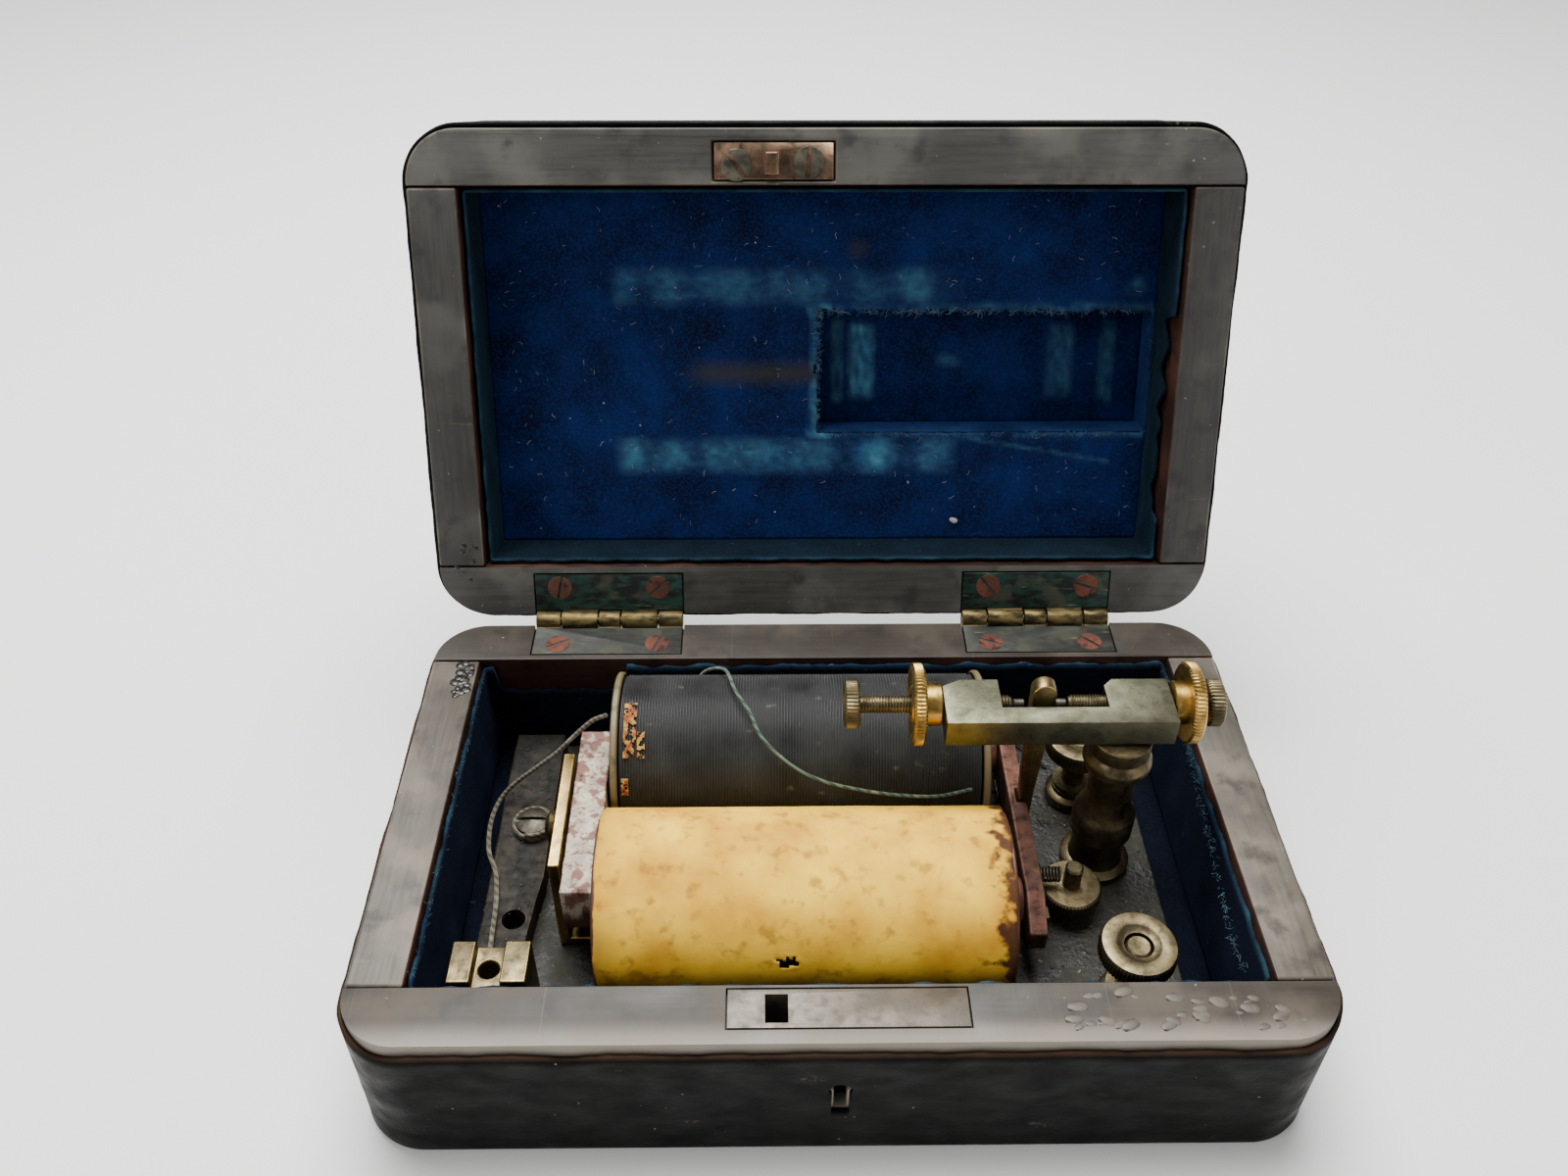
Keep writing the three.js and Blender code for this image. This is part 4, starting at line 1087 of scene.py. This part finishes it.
def wound(name, turns, radius, length, wire, per_turn, look, at, axis="X"):
    """A helix of wire, sizes in millimetres, centred on a point and lying along an axis."""
    blank = bpy.data.objects.new(name + "_former", bpy.data.meshes.new(name + "_former"))
    modifier = blank.modifiers.new("winding", "NODES")
    modifier.node_group = winding_nodes
    values = {"Turns": float(turns), "Radius": radius * MM, "Length": length * MM, "Wire": wire * MM,
              "Points per turn": per_turn, "Look": look}
    for item in winding_nodes.interface.items_tree:
        if item.in_out == "INPUT":
            modifier[item.identifier] = values[item.name]
    coil = evaluated(blank, name)
    swing = Matrix.Rotation(math.pi / 2, 4, "Y") if axis == "X" else Matrix.Identity(4)
    coil.data.transform(Matrix.Translation(Vector(at) * MM) @ swing
                        @ Matrix.Translation((0, 0, -length * MM / 2)))
    coil.data.shade_smooth()
    return coil


def silk_winding():
    # Black silk over fine copper wire: a dull ribbed surface with grey dust along the ribs.
    material, tree, place, (dust, rub) = begin(
        "black_silk_winding", {"Sheen Weight": 0.15, "Sheen Roughness": 0.4, "Specular IOR Level": 0.3},
        (5, 6, {"Location": (0.2, 0.3, 0)}), (1.5, 4, {"Scale": (0.5, 1, 1)}))
    colour = laid_over(tree, mottled(tree, dust, "#0d0e0d", "#262826", 0, 0.9),
                       (rub, 0.66, 0.76, 0, 0.5, "#6b6a60"))
    return finished(material, colour, (dust, 0.42, 0.65), (rub, 0.05, 0.5))


silk = silk_winding()
iron = old_metal("rusted_iron", "#4a2e24", "#1f1613", "#6f4737", (0.6, 0.88), pits=0.14, grime=0.6,
                 metallic=0.45)
iron_edge = old_metal("rusted_iron_arris", "#5f4235", "#2f201a", "#835f4e", (0.5, 0.7), pits=0.1,
                      grime=0.4, metallic=0.6)
coil_centres = {}


def flange_fibre(name, middle, face, rim):
    # Vulcanised fibre disc, black with handling on its faces and paler on its turned edge.
    material, tree, place, (cloud,) = begin(name, {"IOR": 1.5}, (2.5, 5, {}))
    reach = distance_from_axis(tree, place, middle * MM)
    colour = laid_over(tree, face,
                       (reach, 14.35 * MM, 14.6 * MM, 0, 1, rim),
                       (cloud, 0.5, 0.7, 0, 0.6, "#1a130d"))
    return finished(material, colour, (cloud, 0.4, 0.65))


for coil_name in ("front", "rear"):
    low, high = box_in_mm(f"{coil_name}_bobbin")
    middle = (low + high) / 2
    coil_centres[coil_name] = middle
    half = (high.x - low.x) / 2
    flange = (high.z - low.z) / 2
    rows = [(4.3, -half)]
    rows += [(flange - 0.4, -half), (flange, 0.3 - half), (flange, 1.0 - half),
             (flange - 0.4, 1.3 - half)]
    rows += [(5.1, 1.3 - half), (5.1, half - 1.3)]
    rows += [(flange - 0.4, half - 1.3), (flange, half - 1.0), (flange, half - 0.3),
             (flange - 0.4, half)]
    rows += [(4.3, half), (4.3, -half)]
    tones = ("#17120d", "#6f6142") if coil_name == "rear" else ("#2e160f", "#54301f")
    bobbin = turned(f"{coil_name}_bobbin_piece", rows, middle, "X", segments=96,
                    look=flange_fibre(f"{coil_name}_flange_fibre", middle, *tones))
    finish_piece(bobbin, "root", "bobbin_flange", f"{coil_name}_bobbin")
    core_low, core_high = box_in_mm(f"{coil_name}_core")
    core_half = (core_high.x - core_low.x) / 2
    core = turned(f"{coil_name}_core_piece", [(0, -core_half), (4, -core_half), (4, core_half - 0.5),
                                              (3.5, core_half), (0, core_half)],
                  (core_low + core_high) / 2, "X", segments=48, look=iron)
    finish_piece(core, "root", "rusty_iron", f"{coil_name}_core")
    layer = 14.0 if coil_name == "rear" else 13.6
    filling = turned(f"{coil_name}_winding_body",
                     [(5.4, 1.6 - half), (layer, 1.6 - half), (layer, half - 1.6), (5.4, half - 1.6),
                      (5.4, 1.6 - half)], middle, "X", segments=96, look=silk)
    finish_piece(filling, "root", "black_winding", f"{coil_name}_winding")
    if coil_name == "rear":
        wire_radius = 0.24
        pitch = 0.5
        span = 2 * half - 3.6
        ribs = wound("rear_winding_turns", span / pitch, layer, span, wire_radius, per_turn=64,
                     look=silk, at=middle)
        finish_piece(ribs, "root", "black_winding")


def aged_paper():
    # Thin wood-pulp paper gone tan: foxed spots, a glue stain at the right end, browner
    # towards both ends, soft creases and fibres. Its lower half is darkened with painted shade.
    material, tree, place, (cloud, foxing, fibres, creases) = begin(
        "yellowed_paper", {"Roughness": 0.78, "IOR": 1.45, "Specular IOR Level": 0.3},
        (9, 6, {}),
        (2.6, 5, {"Location": (0.3, 0.5, 0.1)}),
        (0.6, 4, {"Scale": (0.3, 1, 1)}),
        (6, 3, {"Scale": (1, 0.2, 0.2), "Location": (0.6, 0, 0)}))
    centred = put(tree, "ShaderNodeMapping", None,
                  {"Vector": place, "Location": tuple(-coil_centres["front"] * MM)})
    parts = put(tree, "ShaderNodeSeparateXYZ", None, {0: centred}).outputs
    from_middle = put(tree, "ShaderNodeMath", {"operation": "ABSOLUTE"}, {0: parts["X"]})
    towards_ends, towards_right, shaded_underside = (
        put(tree, "ShaderNodeMath", {"operation": "MULTIPLY_ADD"}, {0: grain, 1: raggedness, 2: way})
        for grain, raggedness, way in
        ((cloud, 0.02, from_middle), (foxing, 0.012, parts["X"]), (cloud, 0.008, parts["Z"])))
    colour = laid_over(tree, mottled(tree, cloud, "#c88e1e", "#fccb36"),
                       (foxing, 0.52, 0.72, 0, 0.6, "#8a5a1e"),
                       (fibres, 0.6, 0.75, 0, 0.25, "#f0b848"),
                       (towards_ends, 0.0385, 0.046, 0, 0.6, "#7a4a20"),
                       (towards_right, 0.0352, 0.0375, 0, 0.95, "#3a1a10"),
                       # Painted shade: the lower half of the wrap is darkened, as if lit from above.
                       (shaded_underside, -0.001, 0.007, 0.5, 0, "#8a6335"))
    return finished(material, colour, None, (creases, 0.5, 0.5), (fibres, 0.05, 0.4),
                    (foxing, 0.1, 0.4))


paper_look = aged_paper()
paper_low, paper_high = box_in_mm("paper_wrap")
paper_radius = (paper_high.z - paper_low.z) / 2
paper_centre = (paper_low + paper_high) / 2


def paper_wrap():
    """Paper rolled once and a little more round the coil, its ends ragged, with a small
    tear near the front where a flap of it has lifted."""
    around = 220
    along = 130
    half_length = (paper_high.x - paper_low.x) / 2 + 1.45
    tear = Vector((-2.5, math.radians(-16)))
    shape = bmesh.new()
    columns = []
    for i in range(around + 1):
        share = i / around
        angle = math.radians(-150) + share * math.radians(372)
        out = Vector((0, math.cos(angle), math.sin(angle)))
        column = []
        for j in range(along + 1):
            edge = 0.35 * noise.noise(Vector((angle * 3, j > along / 2, 2)))
            edge += 0.15 * noise.noise(Vector((angle * 14, 0, 7)))
            x = (2 * j / along - 1) * (half_length - 0.3 + edge)
            slack = 0.13 * noise.noise(Vector((x / 14, angle * 1.4, 0)))
            slack += 0.05 * noise.noise(Vector((x / 4, angle * 3, 5)))
            radius = paper_radius - 0.22 + 0.1 * share + 0.45 * slack
            away = math.hypot((x - tear.x) / 1.3, (angle - math.pi - tear.y) * paper_radius / 0.8)
            if 1.0 < away < 1.8:
                radius += 0.3 * (1.8 - away)
            spot = paper_centre + Vector((x, 0, 0)) + out * radius
            column.append((shape.verts.new(spot * MM), away))
        columns.append(column)
    for first, second in zip(columns, columns[1:]):
        for j in range(along):
            corners = (first[j], first[j + 1], second[j + 1], second[j])
            rip = 0.85 + 0.9 * noise.noise(corners[0][0].co / (0.9 * MM))
            if min(away for vertex, away in corners) > rip:
                shape.faces.new([vertex for vertex, away in corners])
    bmesh.ops.recalc_face_normals(shape, faces=shape.faces)
    return evaluated(thickened(mesh_from(shape, "paper", paper_look), "paper_plain", thickness=0.14),
                     "paper_wrap_piece")


finish_piece(paper_wrap(), "root", "yellow_paper", "paper_wrap")


def cover_scraps():
    """Torn remains of the rear coil's paper cover, stuck on its left end."""
    shape = bmesh.new()
    middle = coil_centres["rear"]
    rolls = [(-35.6, 2.2, 96, 40), (-33.2, 1.3, 118, 18), (-35.9, 1.2, 150, 12)]
    for left, width, start, sweep in rolls:
        grid = []
        for i in range(61):
            angle = math.radians(start + sweep * i / 60)
            row = []
            for j in range(25):
                x = left + width * j / 24
                radius = 14.45 + 0.45 * max(0, noise.noise(Vector((x, angle * 6, 1))))
                row.append(shape.verts.new(Vector((x, middle.y + radius * math.cos(angle),
                                                   middle.z + radius * math.sin(angle))) * MM))
            grid.append(row)
        for i in range(60):
            for j in range(24):
                spot = Vector((left + width * j / 24, sweep * i / 240, 5))
                if noise.noise(spot) + 0.4 * noise.noise(spot * 3.1) > -0.1:
                    shape.faces.new((grid[i][j], grid[i][j + 1], grid[i + 1][j + 1], grid[i + 1][j]))
    flakes = thickened(mesh_from(shape, "cover_scraps", scrap_look), "cover_scraps_plain",
                       thickness=0.15, offset=1)
    return evaluated(flakes, "cover_scraps")


scrap_look, scrap_tree, _, (scrap_tone,) = begin("orange_paper_scraps", {"Roughness": 0.8},
                                                 (1.2, 5, {}))
finished(scrap_look, laid_over(scrap_tree, "#7c3a0c", (scrap_tone, 0.4, 0.6, 0, 1, "#a5853c")), None)
finish_piece(cover_scraps(), "root", "yellow_paper")
screw_turns = wound(
    "terminal_screw_wire", turns=2.3, radius=3.35, length=1.5, wire=0.36, per_turn=24,
    look=covered_wire("cotton_round_screw", "#2b271c", "#665e42"),
    at=(screw_middle.x, screw_middle.y, screw_high.z - 1.5), axis="Z")
finish_piece(screw_turns, "root", "brown_cotton")


# Armature. A rusty iron bar hung in front of the cores' ends on a steel arbor, with a brass
# lever standing up from its middle between the contact screws, and a spring that pulls it off.
lever_look = old_metal("dull_lever_brass", "#7a6a48", "#3d3322", "#a08c5c", (0.32, 0.52), pits=0.04,
                       grime=0.45)
finish_node("armature", "armature", "rusty_iron", width=0.35, looks=(iron, iron_edge), roughen=0.08,
            grain=1.8, cell=1.2)
finish_node("contact_lever", "armature", "bright_brass", width=0.3, looks=(lever_look, gold_edge))
arbor_low, arbor_high = box_in_mm("armature_arbor")
arbor_half = (arbor_high.y - arbor_low.y) / 2
arbor = turned("armature_arbor_piece",
               [(0, -arbor_half), (0.5, -arbor_half), (0.8, 0.4 - arbor_half), (0.8, 2 - arbor_half),
                (1.3, 2.1 - arbor_half), (1.3, arbor_half - 2.1), (0.8, arbor_half - 2),
                (0.8, arbor_half - 0.4), (0.5, arbor_half), (0, arbor_half)],
               (arbor_low + arbor_high) / 2, "Y", segments=32, look=dull_screw)
finish_piece(arbor, "armature", "dark_brass", "armature_arbor")
finish_node("pivot_bracket", "root", "aged_brass", width=0.25, looks=(brass, brass_edge))
spring_low, spring_high = box_in_mm("armature_spring")
spring_length = spring_high.x - spring_low.x - 0.5
spring = wound("armature_spring_piece", turns=7, radius=1.15, length=spring_length, wire=0.2,
               per_turn=24, look=dull_screw, at=(spring_low + spring_high) / 2)
finish_piece(spring, "root", "spring_steel", "armature_spring")


# Contact bridge. A C-shaped casting of dark brass on a turned post holds two long screws
# point to point across the lever; knurled lock nuts set them.
bridge_look = old_metal("grey_olive_cast_brass", "#545343", "#33322a", "#656453", (0.36, 0.55),
                        pits=0.04, grime=0.35)
finish_node("contact_bridge", "root", "dark_brass", width=0.4, looks=(bridge_look, brass))
gold = old_metal("golden_knurled_brass", "#94793f", "#463a20", "#c9a45c", (0.28, 0.48), pits=0.03,
                 grime=0.5)
post_low, post_high = box_in_mm("bridge_post")
seat = post_high.z - 3.5
foot = post_low.z
post_rows = [(0, foot), (5.7, foot), (6, foot + 0.3), (6, foot + 1.1), (5.7, foot + 1.4),
             (4.7, foot + 1.8), (4.5, foot + 2.4), (4.4, foot + 7.8), (4.9, foot + 8.4),
             (5.25, foot + 8.7), (5.25, foot + 13), (4.9, foot + 13.5), (4.2, foot + 15.2),
             (3.9, foot + 17), (3.9, seat - 8.5), (4.2, seat - 7.6), (5.2, seat - 6.6),
             (5.7, seat - 5.4), (5.6, seat - 4.4), (5.0, seat - 3.5), (4.7, seat - 3.2),
             (5.0, seat - 2.9), (5.0, seat - 0.25), (4.8, seat), (1.2, seat), (1.2, seat + 3.3),
             (0, seat + 3.5)]
post_at = (post_low + post_high) / 2
post = turned("bridge_post_piece", post_rows, (post_at.x, post_at.y, 0), "Z", segments=80, look=brass)
finish_piece(post, "root", "aged_brass", "bridge_post")
for side, way in (("left", -1), ("right", 1)):
    low, high = box_in_mm(f"{side}_contact_screw")
    middle = (low + high) / 2
    inner = (low.x if way > 0 else high.x) * way
    outer = (high.x if way > 0 else low.x) * way
    rows = [(0, inner), (1.1, inner), (1.25, inner + 0.3), (1.25, outer - 2.8), (3.5, outer - 2.8),
            (-3.9, outer - 2.4), (-3.9, outer - 0.6), (3.5, outer - 0.3), (2.9, outer - 0.25),
            (2.5, outer - 0.7), (0, outer - 0.7)]
    rows = rows if way > 0 else [(radius, -along) for radius, along in rows]
    screw = turned(f"{side}_contact_screw_piece", rows, (0, middle.y, middle.z), "X", segments=240,
                   knurl=40, depth=0.09, look=brass)
    finish_piece(screw, f"{side}_screw", "bright_brass", f"{side}_contact_screw")
    shank = outer - 2.8 - inner - 0.6
    thread = wound(f"{side}_contact_screw_thread", shank / 0.5, radius=1.27, length=shank, wire=0.2,
                   per_turn=20, look=brass, at=(way * (inner + 0.3 + shank / 2), middle.y, middle.z))
    finish_piece(thread, f"{side}_screw", "bright_brass")
    tip_low, tip_high = box_in_mm(f"{side}_contact_tip")
    tip = turned(f"{side}_contact_tip_piece",
                 [(0, -0.9), (0.65, -0.9), (0.8, -0.75), (0.8, 0.75), (0.65, 0.9), (0, 0.9)],
                 (tip_low + tip_high) / 2, "X", segments=32, look=dull_screw)
    finish_piece(tip, f"{side}_tip", "platinum_tip", f"{side}_contact_tip")
    low, high = box_in_mm(f"{side}_lock_nut")
    inner = (low.x if way > 0 else high.x) * way
    outer = (high.x if way > 0 else low.x) * way
    rows = [(1.8, inner), (3.4, inner), (3.6, inner + 0.2), (3.6, outer - 2.1), (6.3, outer - 2.1),
            (-6.75, outer - 1.75), (-6.8, outer - 1.1), (-6.75, outer - 0.4), (6.3, outer - 0.05),
            (5.4, outer), (4.9, outer - 0.35), (3.2, outer - 0.4), (2.8, outer), (1.8, outer),
            (1.8, inner)]
    rows = rows if way > 0 else [(radius, -along) for radius, along in rows]
    nut = turned(f"{side}_lock_nut_piece", rows, (0, middle.y, middle.z), "X", segments=320, knurl=64,
                 depth=0.1, look=gold)
    finish_piece(nut, f"{side}_nut", "bright_brass", f"{side}_lock_nut")


# Binding posts. Turned brass posts with a collar, each with a knurled thumb nut dished on top
# that clamps a wire; a lower knurled post beside the armature sets its spring.
for name, body in (("front", "front_nut"), ("rear", "rear_nut")):
    low, high = box_in_mm(f"{name}_binding_post")
    at = (low + high) / 2
    base, top = low.z, high.z
    rows = [(0, base), (4.3, base), (4.5, base + 0.2), (4.5, base + 2.0), (4.2, base + 2.3),
            (3.5, base + 2.6), (3.5, base + 3.6), (3.2, base + 3.7), (3.5, base + 3.8),
            (3.5, base + 4.6), (2.0, base + 4.7), (2.0, top - 0.3), (1.7, top), (0, top - 0.15)]
    finish_piece(
        turned(f"{name}_binding_post_piece", rows, (at.x, at.y, 0), "Z", segments=64, look=brass),
        "root", "aged_brass", f"{name}_binding_post")
    low, high = box_in_mm(f"{name}_thumb_nut")
    at = (low + high) / 2
    rows = [(2.3, low.z), (3.2, low.z), (3.4, low.z + 0.2), (3.4, high.z - 3.5), (5.6, high.z - 3.4),
            (-6.0, high.z - 3.1), (-6.05, high.z - 1.7), (-6.0, high.z - 0.5), (5.7, high.z - 0.12),
            (5.0, high.z), (3.6, high.z), (3.3, high.z - 0.15), (2.9, high.z - 0.5),
            (2.3, high.z - 0.6), (2.3, low.z)]
    nut = turned(f"{name}_thumb_nut_piece", rows, (at.x, at.y, 0), "Z", segments=320, knurl=64,
                 depth=0.1, look=brass)
    finish_piece(nut, body, "bright_brass", f"{name}_thumb_nut")
low, high = box_in_mm("spring_post")
at = (low + high) / 2
base = low.z
rows = [(0, base), (1.5, base), (1.5, base + 3.2), (4.8, base + 3.2), (-5.2, base + 3.5),
        (-5.2, base + 5.4), (4.8, base + 5.7), (1.5, base + 5.7), (1.5, base + 9.9), (1.2, base + 10.2),
        (0, base + 10.2)]
finish_piece(turned("spring_post_piece", rows, (at.x, at.y, 0), "Z", segments=280, knurl=56, depth=0.1,
                    look=brass), "spring_post", "aged_brass", "spring_post")


# Dust, lint and tar. Loose white fibres and crumbs lie on the lid's velvet and grit on the
# relay bed, threads stand out of the cloth's torn edges, and drops of old varnish have dried
# on the rims.
draw = random.Random(7)


def lint_fibre():
    """One curled thread, a millimetre and a half long."""
    curve = bpy.data.curves.new("lint", "CURVE")
    curve.dimensions = "3D"
    curve.bevel_depth = 0.035 * MM
    curve.bevel_resolution = 0
    spline = curve.splines.new("POLY")
    places = [(-0.7, 0, 0.05), (-0.3, 0.12, 0.1), (0.1, -0.05, 0.15), (0.45, 0.1, 0.08),
              (0.7, 0.3, 0.05)]
    spline.points.add(len(places) - 1)
    for point, place in zip(spline.points, places):
        point.co = (*(Vector(place) * MM), 1)
    holder = bpy.data.objects.new("lint_curve", curve)
    return evaluated(holder, "lint_fibre")


def crumb(name, size):
    """A rough grain of dirt or a dried drop."""
    shape = bmesh.new()
    bmesh.ops.create_icosphere(shape, subdivisions=2, radius=size * MM)
    for vertex in shape.verts:
        vertex.co *= 1 + 0.25 * noise.noise(vertex.co / (size * 0.8 * MM))
        vertex.co.z *= 0.45
    return bpy.data.objects.new(name, mesh_from(shape, name))


lint_look, lint_tree, _, (lint_tone,) = begin("white_lint", {"Roughness": 0.9}, (20, 2, {}))
finished(lint_look, mottled(lint_tree, lint_tone, "#5d6373", "#b9b7b0"), None)


def scattered(count, low, high, level, smallest, largest):
    """Places drawn at random over a flat area, each turned and sized at random."""
    places = []
    for _ in range(count):
        size = draw.uniform(smallest, largest)
        places.append(((draw.uniform(low[0], high[0]), draw.uniform(low[1], high[1]), level),
                       (draw.uniform(-0.3, 0.3), draw.uniform(-0.3, 0.3), draw.uniform(0, 2 * math.pi)),
                       (size, size, size)))
    return places


def clear_of_pocket(places):
    """Those of the places that are on the lid's cloth, not over the pocket's opening."""
    return [place for place in places if not torn(place[0][0], place[0][1])]


lid_lint = clear_of_pocket(scattered(count=260, low=(-62, -32), high=(62, 32), level=ceiling - 0.55,
                                     smallest=0.25, largest=0.85))
lid_fibres = planted("lid_lint", lint_fibre(), lid_lint, lint_look)
finish_in_lid(lid_fibres, "velvet_lining")
lid_dirt = clear_of_pocket(scattered(count=34, low=(-62, -32), high=(62, 32), level=ceiling - 0.5,
                                     smallest=0.3, largest=0.9))
lid_dirt += [((27, 30.5, ceiling - 0.5), (0.1, 0, 0.4), (4.2, 2.6, 1.2)),
             ((17.5, 22.5, ceiling - 0.5), (0, 0, 1.3), (1.6, 0.7, 0.8)),
             ((-28, -16, ceiling - 0.5), (0, 0, 0.6), (1.4, 0.5, 0.8))]
lid_crumbs = planted("lid_crumbs", crumb("crumb", size=0.22), lid_dirt, lint_look)
finish_in_lid(lid_crumbs, "velvet_lining")


def frayed_edge():
    """Short threads all along the pocket's torn edge, sticking out over the hole."""
    places = []
    for _ in range(520):
        along_x = draw.random() < 0.72
        if along_x:
            x = draw.uniform(pocket["left"], pocket["right"])
            y = draw.choice((pocket["front"] + 0.7, pocket["back"] + 0.25))
        else:
            x = draw.choice((pocket["left"] + 0.7, pocket["left"] + 0.7, pocket["right"] - 0.2))
            y = draw.uniform(pocket["front"], pocket["back"])
        size = draw.uniform(0.4, 0.8) if y > 0 or x > 60 else draw.uniform(0.6, 1.5)
        places.append(((x + draw.gauss(0, 0.2), y + draw.gauss(0, 0.2), ceiling - 0.35),
                       (draw.uniform(-0.8, 0.8), draw.uniform(-0.8, 0.8), draw.uniform(0, 2 * math.pi)),
                       (size, size, size)))
    return places


fray_look, fray_tree, _, (fray_tone,) = begin(
    "pale_blue_frayed_thread", {"Roughness": 0.9, "Sheen Weight": 0.3}, (3, 3, {}))
finished(fray_look, mottled(fray_tree, fray_tone, "#16304a", "#4d7488"), None)
frays = planted("lid_pocket_frays", lint_fibre(), frayed_edge(), fray_look)
finish_in_lid(frays, "velvet_lining")
varnish_look, varnish_tree, _, (varnish_tone,) = begin("dried_black_varnish", {"IOR": 1.52},
                                                       (1.0, 4, {}))
finished(varnish_look, mottled(varnish_tree, varnish_tone, "#0b0a09", "#26221d"),
         (varnish_tone, 0.15, 0.4))
rim_mm = rim_height / MM
tar = scattered(count=40, low=(-68.8, 25.5), high=(-66.2, 34.5), level=rim_mm - 0.02,
                smallest=0.5, largest=1.9)
tar = [(at, (0, 0, turn[2]), (size[0], size[1], 0.75)) for at, turn, size in tar]
finish_piece(planted("base_varnish_drops", crumb("drop", size=0.55), tar, varnish_look), "root",
             "base_wood")
drip_look, drip_tree, _, (drip_tone,) = begin("dried_drips_on_wood", {"IOR": 1.5}, (2.0, 4, {}))
finished(drip_look, mottled(drip_tree, drip_tone, "#3d362d", "#5a5146"), (drip_tone, 0.4, 0.6))
drips = []
for at, turn, size in scattered(count=34, low=(33, -43.5), high=(68, -36.8), level=rim_mm - 0.03,
                                smallest=0.5, largest=1.5):
    drips.append((at, (0, 0, draw.uniform(-0.5, 0.5)), (size[0] * 2.2, size[1] * 1.2, size[2] * 0.4)))
finish_piece(planted("base_dried_drips", crumb("drip", size=0.55), drips, drip_look), "root",
             "base_wood")


def edge_threads(count):
    """Loose threads standing out of the right and left wall linings' ragged top edges."""
    places = []
    for _ in range(count):
        side = draw.choice((-1, 1, 1))
        y = draw.uniform(-33, 33)
        wall_at = Vector((side * 64.7, y, 0)) * MM
        reach = top_edge / MM - base_drop(wall_at)
        places.append(((side * (64.5 - base_lean(wall_at)) + draw.gauss(0, 0.3), y,
                        reach + draw.gauss(-0.35, 0.45)),
                       (draw.uniform(-1.2, 1.2), draw.uniform(-1.2, 1.2), draw.uniform(0, 6.28)),
                       (draw.uniform(0.2, 0.75),) * 3))
    return places


finish_piece(planted("base_lining_threads", lint_fibre(), edge_threads(count=420), fray_look), "root",
             "velvet_lining")
lid_tar = scattered(count=14, low=(-71, 30), high=(-66, 38), level=29.32, smallest=0.4, largest=1.2)
lid_tar = [(at, (0, 0, turn[2]), (size[0], size[1], 0.3)) for at, turn, size in lid_tar]
lid_blobs = planted("lid_varnish_drops", crumb("lid_drop", size=0.55), lid_tar, varnish_look)
finish_in_lid(lid_blobs, "lid_wood")
bed_top = 12.05
bed_dirt = (scattered(count=150, low=(30.5, -32), high=(56, 29), level=bed_top, smallest=0.25,
                      largest=1.1)
            + scattered(count=60, low=(-59, -24), high=(-51.5, 31), level=bed_top, smallest=0.25,
                        largest=0.9))
finish_piece(planted("bed_crumbs", crumb("grit", size=0.35), bed_dirt, bed_look), "root", "hard_rubber")
